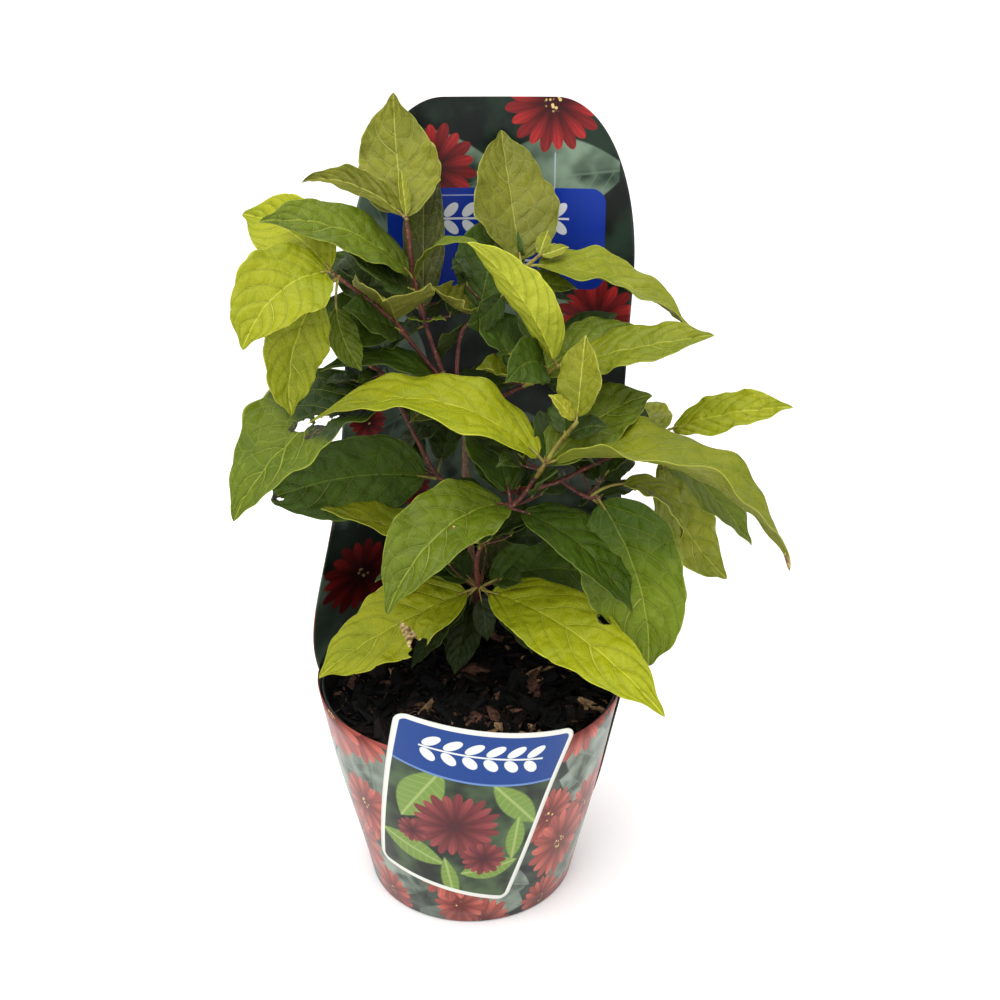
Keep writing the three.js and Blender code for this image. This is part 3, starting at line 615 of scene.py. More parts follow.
def flapSpot(skin, row, column):
    height = np.linspace(wrapFlap["foot"], wrapFlap["top"], wrapFlap["rows"])[row]
    share = (height - wrapFlap["foot"]) / (wrap["rim"] - wrapFlap["foot"])
    reach = wrapFlap["turn"] * math.sqrt(max(share, 0.02))
    turn = -reach * column / wrapFlap["steps"]
    lift = wrapFlap["lift"] * (column / wrapFlap["steps"]) ** 2
    return onSleeve(turn, height, sleeveRadius(turn, height) + wrapFlap["skins"][skin] + lift)


# The print: round-petalled red blooms and broad leaves on a dark green ground.
# leaves: cell and shift of each loose grid of leaves. blooms: the same, and the petals.
# placed: across, height, size, petals and turn of single blooms.
printLook = {
    "board": dict(
        ground=((3, 8, 6), (24, 42, 30)), leaf=((22, 40, 28), (112, 132, 112)),
        petal=((48, 4, 8), (166, 38, 38)), leaves=((150, 0.62), (118, 0.31), (92, 0.11)), blooms=(),
        placed=((46, 430, 27, 10, 0.2), (-20, 396, 25, 9, 0.5), (72, 312, 24, 9, 1.0), (-66, 160, 22, 9, 0.4),
                (-36, 208, 12, 8, 0.1), (24, 214, 14, 8, 0.8), (-60, 252, 11, 8, 0.3)),
    ),
    # the sleeve's palette is paler and pinker than the board's: the print with a painted wash of reflection
    "sleeve": dict(
        ground=((24, 31, 26), (72, 82, 72)), leaf=((44, 58, 46), (132, 144, 130)),
        petal=((92, 34, 30), (190, 98, 84)), leaves=((96, 0.37), (78, 0.11), (70, 0.6)),
        blooms=((74, 0.3, 9), (62, 0.76, 10), (84, 0.55, 9)), placed=(),
    ),
}
boardPaintedShade = {"low": 190, "high": 350, "least": 0.4}  # painted shade of the foliage: the board's print is darkened from high to low
namePanel = {"left": -45, "right": 75, "low": 329, "high": 385, "corner": 8}
panelSprigs = ((0.7, 40), (0.28, 20))  # share of the panel's height, and half length
boardFlap = {"left": -19, "right": 47, "low": 381, "high": 433, "corner": 5}  # a scored line
flapLine = {"width": 0.45, "top": 403, "fade": 2}
sprig = dict(pitch=10, leafLength=8, leafWidth=3.4)


def bloomMask(across, along, size, petals, turn):
    radius = maths("SQRT", across ** 2 + along ** 2)
    angle = maths("ARCTAN2", along, across) + turn
    lobe = abs(maths("COSINE", angle * (petals / 2)))
    reach = (lobe ** 0.9 * 0.78 + 0.22) * size
    share = radius / size
    grooves = maths("SINE", angle * (petals * 5)) * 0.16 + 0.84
    lit = lobe ** 1.4 * smoothStep(share, 0.1, 0.95) * grooves
    return smoothStep(reach - radius, 0.0, 1.0), lit, below(share, 0.15, 0.22)


def bladeMask(across, along, length, width):  # a leaf shape that points along, and its veins
    share = along / length
    distance = abs(across)
    inside = smoothStep((1 - share * share) * width - distance, 0.0, 1.5)
    slant = share * 5 - distance * 0.09
    veins = below(maths("PINGPONG", slant, 0.5), 0.02, 0.09)
    return inside, largest(below(distance, 0.4, 1.1), veins * 0.6)


def scattered(across, along, cell, offset):  # one place and roll of the dice in each cell of a loose grid
    wide, high = across / cell + offset, along / cell + offset * 1.7
    corner = pointOf(maths("FLOOR", wide), maths("FLOOR", high))
    noise = addNode(across.tree, "TexWhiteNoise", {"Vector": corner}, "Color", noise_dimensions="2D")
    dice = partsOf(noise, "SeparateColor")
    middles = [(roll - 0.5) * 0.22 + 0.5 for roll in dice[:2]]
    place = [(maths("FRACT", value) - middle) * cell for value, middle in zip((wide, high), middles)]
    return place, dice[2]


def spun(across, along, cosine, sine):
    return across * cosine + along * sine, along * cosine - across * sine


def paintBloom(under, place, size, petals, turn, tones, heart):  # two rows of petals, then the heart
    dark, light = tones
    shaded = [(first + second) / 2 for first, second in zip(dark, light)]
    inside, lit, _ = bloomMask(*place, size, petals, turn + math.pi / petals)
    under = mixColours(inside, under, mixColours(lit, dark, shaded))
    inside, lit, middle = bloomMask(*place, size * 0.93, petals, turn)
    return mixColours(inside, under, mixColours(middle, mixColours(lit, dark, light), heart))


def printMaterial(name, look):
    values = printLook[look]
    material, place = startMaterial(name, roughness=0.3, specular=0.25)
    across, along = uvOf(place.tree, "printUv")
    spot = pointOf(across, along)
    picture = mixColours(smoothStep(noiseOf(spot, scale=0.035), 0.4, 0.66), *colours(*values["ground"]))
    dark, light = colours(*values["leaf"])
    green = mixColours(smoothStep(noiseOf(spot, scale=0.05, detail=2), 0.35, 0.7), dark, light)
    for cell, offset in values["leaves"]:
        middle, roll = scattered(across, along, cell, offset)
        lengthways = spun(*middle, maths("COSINE", roll * 6.28), maths("SINE", roll * 6.28))
        inside, veins = bladeMask(*lengthways, cell * 0.48, cell * 0.24)
        sheen = smoothStep(lengthways[0], -2.0, 3.0) * 0.35
        picture = mixColours(inside, picture, mixColours(largest(veins * 0.4, sheen), green, light))
    petal = colours(*values["petal"])
    heart = mixColours(smoothStep(cellsOf(spot, 0.42, "F1"), 0.25, 0.45), colour(206, 176, 116), petal[0])
    for cell, offset, petals in values["blooms"]:
        middle, roll = scattered(across, along, cell, offset)
        size = roll * (cell * 0.08) + cell * 0.3
        picture = paintBloom(picture, middle, size, petals, roll * 9, petal, heart)
    for x, y, size, petals, turn in values["placed"]:
        picture = paintBloom(picture, (across - x, along - y), size, petals, turn, petal, heart)
    if look == "board":
        # painted shade: the lower board is darkened where the foliage shades it
        shade = smoothStep(along, boardPaintedShade["low"], boardPaintedShade["high"]) * (1 - boardPaintedShade["least"])
        picture = addNamePanel(scaled(picture, shade + boardPaintedShade["least"]), across, along)
    return finishMaterial(material, picture, noiseOf(place, scale=9, detail=1), depth=1.2, strength=0.25)


def sprigMask(across, along, reach, pitch, leafLength, leafWidth):  # a level stem with pairs of leaves
    height = abs(along)
    shifted = across - (height * 0.55 - leafLength * 0.33)
    cell = (maths("FRACT", shifted / pitch) - 0.5) * (pitch / leafWidth)
    tall = (height - leafLength * 0.6) / (leafLength * 0.5)
    leaves = below(cell ** 2 + tall ** 2, 0.9, 1.05)
    return largest(leaves, below(height, 0.45, 0.7)) * below(abs(across), reach, reach + 0.3)


def roundedBox(across, along, left, right, low, high, corner):  # distance in mm, below 0 inside
    wide = abs(across - (left + right) / 2) - ((right - left) / 2 - corner)
    tall = abs(along - (low + high) / 2) - ((high - low) / 2 - corner)
    return maths("SQRT", largest(wide, 0.0) ** 2 + largest(tall, 0.0) ** 2) - corner


def addNamePanel(look, across, along):
    low, high = namePanel["low"], namePanel["high"]
    blue = mixColours(smoothStep(along, low, high), colour(0, 34, 122), colour(2, 42, 138))
    look = mixColours(below(roundedBox(across, along, **namePanel), -0.3, 0.3), look, blue)
    centre = (namePanel["left"] + namePanel["right"]) / 2
    for share, reach in panelSprigs:
        mask = sprigMask(across - centre, along - (low + (high - low) * share), reach, **sprig)
        look = mixColours(mask, look, colour(196, 198, 200))
    edge = abs(roundedBox(across, along, **boardFlap))
    line = below(edge, flapLine["width"] / 2, flapLine["width"])
    seen = line * below(along, flapLine["top"], flapLine["top"] + flapLine["fade"])
    return mixColours(seen * 0.5, look, colour(190, 200, 226))


# Card: a rounded picture card with a white border and a blue head band, bent round the wrap
card = {
    "width": 88, "height": 122, "corner": 7, "thickness": 0.7, "tilt": -14, "middle": -3,
    "middleHeight": 88, "gap": 0.3,
    "border": 2.9, "borderCorner": 3.5,  # width, and the radius of its inner corners
    "band": 32,        # depth of the blue band below the card's top edge, at its middle
    "bandSag": 3.5,    # the band's lower edge hangs lower in the middle
    "sprigDrop": 0.55, "sprigReach": 30,
    "columns": 48, "rows": 66,
}
cardLeaves = [  # across, height, length, width and turn
    (-24, 8, 24, 12, 1.9), (26, 12, 22, 8, 0.7), (-22, -36, 22, 9, 0.2), (24, -36, 18, 9, -0.5),
    (33, -12, 17, 6, 1.4), (4, -52, 20, 6, 1.2),
]
cardBlooms = [(-2, -8, 25, 11, 0.3), (19, -29, 14, 8, 1.1), (-24, -22, 10, 7, 0.2)]  # as on the board


def cardSpot(skin, row, column):
    halfWidth, halfHeight = card["width"] / 2, card["height"] / 2
    along = math.sin((row / card["rows"] * 2 - 1) * quarterTurn) * halfHeight
    past = max(0.0, abs(along) - (halfHeight - card["corner"]))
    cut = card["corner"] - math.sqrt(max(0.0, card["corner"] ** 2 - past ** 2))
    across = (column / card["columns"] * 2 - 1) * (halfWidth - cut)
    tilt = math.radians(card["tilt"])
    arc = card["middle"] + across * math.cos(tilt) - along * math.sin(tilt)
    height = card["middleHeight"] + across * math.sin(tilt) + along * math.cos(tilt)
    turn = -quarterTurn + arc / wrapRadius(card["middleHeight"])
    radius = sleeveRadius(turn, height) + card["gap"] + card["thickness"] * (1 - skin)
    return (radius * math.cos(turn), radius * math.sin(turn), height), (across, along)


def makeCard():
    materials = [cardPicture(), cardBack()]
    rows, columns = card["rows"] + 1, card["columns"] + 1
    makeSheet("picture_card_sheet", "picture_card", materials, cardSpot, rows, columns)


def cardBack():
    material, place = startMaterial("cardBack", roughness=0.5)
    paper = mixColours(noiseOf(place, scale=300), colour(222, 220, 214), colour(238, 236, 230))
    return finishMaterial(material, paper)


def cardPicture():
    material, place = startMaterial("cardPicture", roughness=0.3, specular=0.25)
    across, along = uvOf(place.tree, "printUv")
    ground = noiseOf(pointOf(across, along), scale=0.045, detail=2)
    look = mixColours(smoothStep(ground, 0.36, 0.66), colour(20, 28, 20), colour(66, 86, 56))
    for x, y, length, width, turn in cardLeaves:
        lengthways = spun(along - y, across - x, math.cos(turn), math.sin(turn))
        inside, veins = bladeMask(*lengthways, length, width)
        green = mixColours(veins * 0.5, colour(104, 130, 56), colour(166, 178, 112))
        look = mixColours(inside, look, green)
    petal = colours((70, 18, 24), (142, 62, 62))
    for x, y, size, petals, turn in cardBlooms:
        look = paintBloom(look, (across - x, along - y), size, petals, turn, petal, colour(62, 16, 24))
    halfWidth, halfHeight = card["width"] / 2, card["height"] / 2
    lowest = halfHeight - card["band"] - card["bandSag"]
    edge = along - lowest - (across / halfWidth) ** 2 * card["bandSag"]
    look = mixColours(smoothStep(edge, -1.3, -0.9), look, colour(92, 122, 172))
    look = mixColours(smoothStep(edge, 0.0, 0.4), look, colour(0, 52, 120))
    sprigHeight = halfHeight - card["band"] * card["sprigDrop"]
    mask = sprigMask(across, along - sprigHeight, card["sprigReach"], **sprig)
    look = mixColours(mask, look, colour(206, 208, 206))
    wide, tall = halfWidth - card["border"], halfHeight - card["border"]
    edge = roundedBox(across, along, -wide, wide, -tall, tall, card["borderCorner"])
    border = smoothStep(edge, -0.2, 0.2)
    look = mixColours(border, look, colour(208, 208, 200))
    return finishMaterial(material, look, noiseOf(place, scale=14, detail=1), depth=0.6, strength=0.2)


# Paths: smooth curves through a few points, the same as in the part's source
def curvePoint(points, t):
    spans = len(points) - 1
    first = min(int(t * spans), spans - 1)
    share = t * spans - first
    a, b = points[first], points[first + 1]
    before = points[first - 1] if first > 0 else 2 * points[0] - points[1]
    after = points[first + 2] if first + 2 <= spans else 2 * points[-1] - points[-2]
    startPull, endPull = 0.5 * (b - before), 0.5 * (after - a)
    square = -3 * a + 3 * b - 2 * startPull - endPull
    cube = 2 * a - 2 * b + startPull + endPull
    return a + startPull * share + square * share ** 2 + cube * share ** 3


def curvePoints(points, count):
    return np.array([curvePoint(points, share) for share in np.linspace(0, 1, count)])


def curveTangent(points, t, step=0.0001):
    ahead = curvePoint(points, min(t + step, 1)) - curvePoint(points, max(t - step, 0))
    return ahead / np.linalg.norm(ahead)


def curveLength(points, divisions=200):
    places = np.array([curvePoint(points, step / divisions) for step in range(divisions + 1)])
    return np.linalg.norm(np.diff(places, axis=0), axis=1).sum()


def tube(centres, radii, sides, relief=None):  # rings along a path, with a blunt cap at each end
    ahead = np.gradient(centres, axis=0)
    ahead /= np.linalg.norm(ahead, axis=1)[:, None]
    across = np.array([1, 0.2, 0.0])
    turns = np.arange(sides) * 2 * math.pi / sides
    rings = []
    for row, (centre, direction, radius) in enumerate(zip(centres, ahead, radii)):
        across = across - direction * across.dot(direction)
        across /= np.linalg.norm(across)
        other = np.cross(direction, across)
        size = radius * (np.ones(sides) if relief is None else 1 + relief[row])
        sideways, upward = (size * np.cos(turns))[:, None], (size * np.sin(turns))[:, None]
        rings.append(centre + across * sideways + other * upward)
    ends = [centres[0] - ahead[0] * radii[0] * 0.4, centres[-1] + ahead[-1] * radii[-1] * 0.6]
    count = len(centres)
    faces = []
    for row in range(count - 1):
        for side in range(sides):
            a, b = row * sides + side, row * sides + (side + 1) % sides
            faces.append([a, b, b + sides, a + sides])
    foot, tip, last = count * sides, count * sides + 1, (count - 1) * sides
    for side in range(0, sides, 2):
        b, c = (side + 1) % sides, (side + 2) % sides
        faces.append([c, b, side, foot])
        faces.append([last + side, last + b, last + c, tip])
    return np.vstack(rings + ends), faces


# Stems and boughs: tapering limbs with swollen leaf joints and a little relief in the bark.
# A limb starts on the one that it comes after, at a share of that one's length. foot and tip are its radii
# there, before it is made slimmer, and inner leaves are kept off two places in each of its steps.
def bough(path, foot, tip, steps, after=None, at=0, flare=0, bark="young"):
    return dict(path=path, foot=foot, tip=tip, steps=steps, after=after, at=at, flare=flare, bark=bark)


limbs = {
    "main_stem": bough(
        [[-1, 51, 114], [3, 42, 152], [0, 34, 195], [-2, 30, 240], [-3, 29, 270], [-14, 28, 298]],
        3.1, 1.9, 14, flare=3, bark="woody",
    ),
    "front_stem": bough(
        [[3, 26, 152], [5, 8, 177], [5, -6, 205], [16, -16, 233], [27, -22, 245], [36, -26.5, 260]],
        1.9, 1.4, 14, "main_stem", 0.15,
    ),
    "tall_bough": bough([[-14.3, 28, 298.8], [-18, 28, 310], [-22, 26, 324]], 1.7, 1.4, 4),
    "left_bough": bough([[-25, 24, 309], [-33, 18, 322]], 1.5, 1.3, 5, "main_stem", 0.92),
    "right_bough": bough([[-4, 28.5, 317.5], [4, 30, 327]], 1.5, 1.3, 5, "main_stem", 0.89),
    "mid_bough": bough([[17, 24, 284], [30, 16, 294]], 1.6, 1.2, 6, "main_stem", 0.75),
    "west_bough": bough([[-18, 26, 239], [-28, 22, 261], [-35, 18, 279]], 1.6, 1.2, 8, "main_stem", 0.52),
    "east_bough": bough([[48, -16, 253], [62, -8, 257], [80, 1, 261]], 1.5, 1.2, 8, "front_stem", 0.9),
    "low_bough": bough([[53, -17, 250], [58, -19.5, 247.5]], 1.2, 1.1, 4, "east_bough", 0.34),
}
barkRelief = {
    "slimness": 0.8,    # these stems against those of the solid part
    "flareRun": 7,
    "joint": 30,        # from one leaf joint to the next
    "swelling": 0.3,    # how much thicker a limb is there
    "swellingRun": 2.2,
    "furrow": {"woody": 0.07, "young": 0.03},
    "stepLength": 1.4,
    "leastSteps": 12,
    "sides": 20,
    "footDepth": 1.5,   # how far the main stem goes into the soil
}


def limbPath(name):
    limb = limbs[name]
    points = [np.array(place, dtype=float) for place in limb["path"]]
    if limb["after"]:
        points.insert(0, curvePoint(limbPath(limb["after"]), limb["at"]))
    return points


def limbRadius(limb, share, travelled):
    flare = limb["flare"] * math.exp(-travelled / barkRelief["flareRun"])
    return limb["foot"] + (limb["tip"] - limb["foot"]) * share + flare


def reliefOf(travelled, sides, furrow):
    turns = np.arange(sides) * 2 * math.pi / sides
    along = travelled[:, None]
    ridges = np.sin(turns * 5 + 0.35 * np.sin(along * 0.31)) + 0.6 * np.sin(turns * 9 + along * 0.12)
    cracks = 0.7 * np.sin(along * 1.9 + 2.2 * np.sin(turns * 3)) * np.sin(along * 0.27 + turns)
    fromJoint = np.abs((travelled + 9) % barkRelief["joint"] - barkRelief["joint"] / 2)
    joint = barkRelief["swelling"] * np.exp(-(fromJoint / barkRelief["swellingRun"]) ** 2)
    return furrow * (ridges + cracks) / 2 + joint[:, None]


def makeLimbs():
    materials = {"woody": stemBark("woodyStemBark", (84, 60, 40), (122, 92, 64), 0.5),
                 "young": stemBark("youngStemBark", (66, 24, 22), (104, 50, 38), 0.16)}
    sides = barkRelief["sides"]
    for name, limb in limbs.items():
        path = limbPath(name)
        rows = max(barkRelief["leastSteps"], int(curveLength(path) / barkRelief["stepLength"]))
        centres = curvePoints(path, rows)
        if name == "main_stem":
            centres[0][2] = soil["top"] - barkRelief["footDepth"]
        travelled = np.concatenate([[0], np.cumsum(np.linalg.norm(np.diff(centres, axis=0), axis=1))])
        shares = np.linspace(0, 1, rows)
        solidRadii = [limbRadius(limb, share, run) for share, run in zip(shares, travelled)]
        radii = [barkRelief["slimness"] * radius for radius in solidRadii]
        relief = reliefOf(travelled, sides, barkRelief["furrow"][limb["bark"]])
        corners, faces = tube(centres, radii, sides, relief)
        slot = "stem" if limb["bark"] == "woody" else "young_stem"
        addPiece(name + "_bark", corners, faces, [materials[limb["bark"]]], [name])
    return materials["young"]


def stemBark(name, dark, light, depth):
    material, place = startMaterial(name, roughness=0.62)
    streaks = noiseOf(place, scale=160, detail=5, rough=0.6)
    corky = below(cellsOf(place, 420, "F1"), 0.12, 0.3)
    bark = mixColours(smoothStep(streaks, 0.35, 0.65), colour(*dark), colour(*light))
    return finishMaterial(material, mixColours(corky * 0.5, bark, colour(150, 122, 88)), streaks, depth)


# Masses of foliage: each grows on a stem that carries on after its bough, or round a limb at a leaf joint.
# A leaf has its heading on the plan, the rise from foot to tip, its length with the stalk, its width, the
# droop, which is the total bend downward, and the face, a roll that turns its upper side to the front.
# Its scorches, withered patches and holes are places along and across the blade and half sizes there. Its
# shade,
# where given, scales its colour: painted light above 1, painted shade below 1.
leafHabit = {
    "stalk": 4, "fold": 10,          # degrees that each half stands up from the midrib
    "widest": 0.408, "fall": 0.9,    # where the outline is widest, and its power from there to the tip
    "wave": 0.09,                    # height of the waves in the margin, in half widths
}


def leafOf(heading, rise, length, width, droop, face, tone, **more):
    main = dict(heading=heading, rise=rise, length=length, width=width, droop=droop, face=face, tone=tone)
    return {**leafHabit, **main, **more}


masses = {
    "top_foliage": dict(
        after="tall_bough", path=[[-27, 24, 347], [-30, 22, 376], [-30.5, 21.5, 382]], foot=1.4, pairs=2,
        innerLength=34, without=("inner1at0",),
        leaves={
            "crownLeaf": leafOf(101, 55, 75, 42, -77, 5, "crown", at=0.9, stalk=3, wave=0.14),
            "curledTop": leafOf(-206, 13, 67, 14, 52, 42, "olive", at=0.9, stalk=3, curl=0.5, wave=0.2),
            "topBud": leafOf(99, 46, 31, 7, 13, -30, "young", at=0.98, stalk=1),
            "archLeft": leafOf(-155, 25, 91, 36, 57, 31, "green", at=0.36, shade=1.08, wave=0.06),
            "twisted": leafOf(-26, 29, 54, 13, 110, 8, "green", at=0.33, stalk=3),
            "mottledBack": leafOf(90, 57, 105, 22, 21, -4, "worn", at=0.08, curl=-0.25),
            "underArch": leafOf(-136, 33, 50, 28, -18, 40, "dark", at=0.28),
            "sproutLeft": leafOf(-150, 20, 11, 7, 20, 0, "green", at=0.02, stalk=1),
            "sproutRight": leafOf(-25, 18, 13, 8, 20, 0, "green", at=0.02, stalk=1),
            "backLeft": leafOf(155, 20, 66, 36, 20, 25, "deep", at=0.12),
            "forkBack": leafOf(150, -32, 42, 36, 8, 20, "deep", at=0.0, shade=0.8),
        },
    ),
    "left_foliage": dict(
        after="left_bough", path=[[-37, 14, 329], [-51, 4, 345], [-67, -6, 361]], foot=1.3, pairs=2,
        innerLength=34,
        leaves={
            "leftUp": leafOf(140, 17, 70, 35, 47, 43, "lime", at=0.97, stalk=3, shade=1.15, wave=0.06),
            "leftDown": leafOf(-133, -26, 67, 42, 74, 35, "lime", at=0.99, stalk=3),
            "leftHang": leafOf(-126, -59, 80, 34, 87, 71, "fresh", at=0.92, stalk=16, shade=1.2),
            "leftSlim": leafOf(-5, -78, 51, 18, -53, 46, "green", at=0.92, stalk=16),
            "cupped": leafOf(-95, 34, 43, 40, 38, 2, "olive", at=0.3, stalk=6, curl=0.3, wave=0.1),
            "leftInner": leafOf(-128, 28, 46, 25, 0, 50, "dark", at=0.1),
            "lowLeft": leafOf(170, 12, 50, 38, 10, 35, "deep", at=0.0),
        },
    ),
    "right_foliage": dict(
        after="right_bough", path=[[17, 32.5, 339], [28, 33, 351], [38, 33, 360]], foot=1.3, green=True,
        pairs=3, innerLength=40,
        leaves={
            "roundTop": leafOf(103, 53, 81, 46, 5, -10, "crown", at=0.68, stalk=6, widest=0.5, shade=0.86),
            "archRight": leafOf(-2, -21, 96, 42, 46, 11, "fresh", at=0.78, stalk=5),
            "budA": leafOf(72, 32, 18, 8, 14, 25, "young", at=0.98, stalk=1),
            "budB": leafOf(25, 13, 18, 8, -15, 40, "young", at=0.98, stalk=1),
            "innerUp": leafOf(117, 25, 44, 23, -45, 37, "dark", at=0.34),
            "innerLeft": leafOf(-134, -25, 34, 16, -55, 80, "dark", at=0.42),
            "innerRight": leafOf(2, -15, 31, 15, -45, 32, "green", at=0.68),
            "curledMiddle": leafOf(-145, 35, 35, 21, -49, 25, "olive", at=0.05, stalk=3, curl=0.6, wave=0.2),
            "backRight": leafOf(60, 62, 58, 36, 10, 20, "deep", at=0.04),
            "darkDrop": leafOf(150, -50, 36, 26, 10, 0, "dark", at=0.0),
        },
    ),
    "mid_foliage": dict(
        after="mid_bough", path=[[38, 10, 300], [47, 1, 310]], foot=1.2, green=True, pairs=2,
        innerLength=44, without=("inner0at180",),
        leaves={
            "longLeft": leafOf(-148, 54, 90, 24, 30, -39, "lime", at=0.96, stalk=5, curl=0.35, wave=0.1,
                shade=1.35),
            "flatRight": leafOf(-14, 16, 82, 34, 10, 20, "fresh", at=0.96, stalk=6),
            "behindRight": leafOf(-7, 25, 69, 28, 56, 35, "green", at=0.3, stalk=5),
            "behindTip": leafOf(35, 27, 66, 24, 20, 35, "dark", at=0.2, stalk=6),
            "roundDark": leafOf(-123, 8, 44, 25, 88, 57, "deep", at=0.75),
            "backMiddle": leafOf(140, 48, 60, 34, 15, -10, "deep", at=0.02),
            "curledEdge": leafOf(180, 20, 28, 20, 30, 20, "fresh", at=0.02, stalk=3, curl=0.5, wave=0.15),
        },
    ),
    "front_foliage": dict(
        after="front_stem", path=[[40, -29, 268], [47, -32, 281], [55, -36, 293]], foot=1.4, green=True,
        pairs=2, innerLength=44,
        leaves={
            "spanLeft": leafOf(-188, 7, 136, 42, 85, 15, "lime", at=0.33, stalk=5, fold=14, wave=0.12,
                fall=1.2),
            "spanRight": leafOf(-20, -16, 146, 54, 84, -4, "fresh", at=0.33, stalk=6, curl=0.1, wave=0.12,
                fold=16, twist=-18, widest=0.33, shade=0.9, scorches=((0.985, 0.0, 0.05, 1.4),)),
            "wing": leafOf(23, 28, 72, 36, 36, 24, "green", at=0.2),
            "youngUp": leafOf(72, 74, 43, 24, -12, -14, "young", at=0.98, stalk=3),
            "youngCurl": leafOf(179, 49, 20, 10, 14, 32, "bud", at=0.98, stalk=2),
        },
    ),
    "centre_foliage": dict(
        on="front_stem", at=0.78, pairs=2, innerLength=46, redStalks=True,
        leaves={
            "midDark": leafOf(120, 35, 63, 34, 76, -6, "deep"),
            "midLeft": leafOf(-133, -19, 101, 40, 82, 22, "green", fold=20,
                scorches=((0.43, -0.17, 0.012, 0.06),), shade=1.0),
            "midRight": leafOf(-28, -33, 84, 37, 59, 10, "deep", wave=0.04),
        },
    ),
    "east_foliage": dict(
        after="east_bough", path=[[99, 8, 269], [106, 10, 271]], foot=1.2, pairs=2, innerLength=42,
        without=("inner0at180", "inner1at180"),
        leaves={
            "farRight": leafOf(-27, 20, 72, 28, 22, 30, "lime", at=0.85, stalk=5),
            "paleBack": leafOf(95, 2, 51, 24, 0, -1, "lime", at=0.6),
            "eastArch": leafOf(-29, -41, 77, 37, 6, 7, "green", at=0.55),
            "eastHang": leafOf(11, -63, 105, 37, -42, 56, "fresh", at=0.6, stalk=16),
        },
    ),
    "lower_right_foliage": dict(
        after="low_bough", path=[[63, -21, 246], [69, -23, 247]], foot=1.1, pairs=2, innerLength=40,
        leaves={
            "sickle": leafOf(-16, -19, 68, 23, 137, 2, "fresh", at=0.55, stalk=20),
            "bigHang": leafOf(-42, -67, 98, 54, 51, 62, "shaded", at=0.85, stalk=3, shade=1.15),
            "backHang": leafOf(13, -63, 104, 34, 40, 70, "fresh", at=0.6, stalk=12),
        },
    ),
    "foot_foliage": dict(
        on="front_stem", at=0.345, pairs=2, innerLength=46,
        leaves={
            "footRight": leafOf(-46, -9, 136, 41, 41, 26, "lime", stalk=6, holes=((0.55, 0.8, 0.028, 0.13),),
                shade=1.2, withered=((0.55, 0.8, 0.03, 0.15),), detail=1.5),
            "footLeft": leafOf(-166, -26, 100, 51, 20, 18, "lime",
                scorches=((0.4, -0.55, 0.035, 0.3), (0.42, -0.2, 0.02, 0.16), (0.36, -0.85, 0.02, 0.12)),
                holes=((0.38, -0.98, 0.06, 0.3),), widest=0.33, detail=1.8),
            "footDarkRight": leafOf(10, -6, 82, 39, 66, 48, "deep", shade=1.15),
            "footDarkLeft": leafOf(176, 0, 61, 29, 83, 10, "deep"),
            "downLeft": leafOf(-164, -50, 58, 20, 16, 10, "dark", stalk=5, shade=0.85),
            "downRight": leafOf(-12, -54, 47, 16, 20, 10, "dark", stalk=5, shade=0.8),
            "peekRight": leafOf(8, -44, 56, 20, 14, 10, "fresh", stalk=5),
            "downFront": leafOf(-70, -62, 28, 13, 10, 10, "dark", stalk=4, shade=0.45),
        },
    ),
    "step_foliage": dict(
        on="front_stem", at=0.55, pairs=2, innerLength=44,
        leaves={
            "slimLeft": leafOf(-172, 17, 85, 32, -5, 5, "fresh", stalk=6),
            "littleFront": leafOf(-78, 32, 38, 12, 40, 60, "deep", stalk=3),
        },
    ),
    "west_foliage": dict(
        after="west_bough", path=[[-43, 12, 300], [-50, 4, 309]], foot=1.2, pairs=3, innerLength=42,
        leaves={
            "bentLeft": leafOf(-146, -29, 114, 60, 64, 10, "halfDark", at=0.3, stalk=5,
                holes=((0.44, 0.05, 0.045, 0.12), (0.36, -0.15, 0.04, 0.22), (0.31, -0.32, 0.02, 0.07)),
                withered=((0.43, -0.33, 0.06, 0.16), (0.47, 0.12, 0.03, 0.12)), detail=1.6),
        },
    ),
    "lower_left_foliage": dict(
        on="west_bough", at=0.34, pairs=2, innerLength=44,
        leaves={
            "wideLeft": leafOf(-158, 0, 98, 46, 36, 78, "deep",
                holes=((1.0, 0.0, 0.09, 3.0), (0.88, -0.27, 0.018, 0.12)), shade=1.2,
                withered=((0.9, -0.2, 0.02, 0.4),), wave=0.05),
            "innerBack": leafOf(72, 48, 43, 21, -14, -12, "dark", stalk=6),
        },
    ),
    "heart_foliage": dict(
        on="main_stem", at=0.83, pairs=3, innerLength=52,
        leaves={
            "slimDark": leafOf(-163, 23, 91, 24, 97, 17, "deep", stalk=6),
            "brownish": leafOf(-138, 8, 36, 17, 80, 30, "worn", stalk=6),
            "heartLow": leafOf(172, -34, 44, 22, 20, 20, "dark", shade=0.8),
        },
    ),
    "soil_foliage": dict(
        on="main_stem", at=0.25, pairs=1, innerLength=36,
        leaves={
            "soilLeft": leafOf(-132, -29, 53, 24, -16, -20, "dark", stalk=6),
            "soilRight": leafOf(-38, -28, 48, 22, 60, -16, "dark", stalk=6),
            "soilUp": leafOf(-13, 37, 57, 26, 86, 43, "worn", stalk=5),
            "soilFront": leafOf(-110, -52, 50, 22, 14, 12, "dark", stalk=6, shade=0.6),
        },
    ),
}
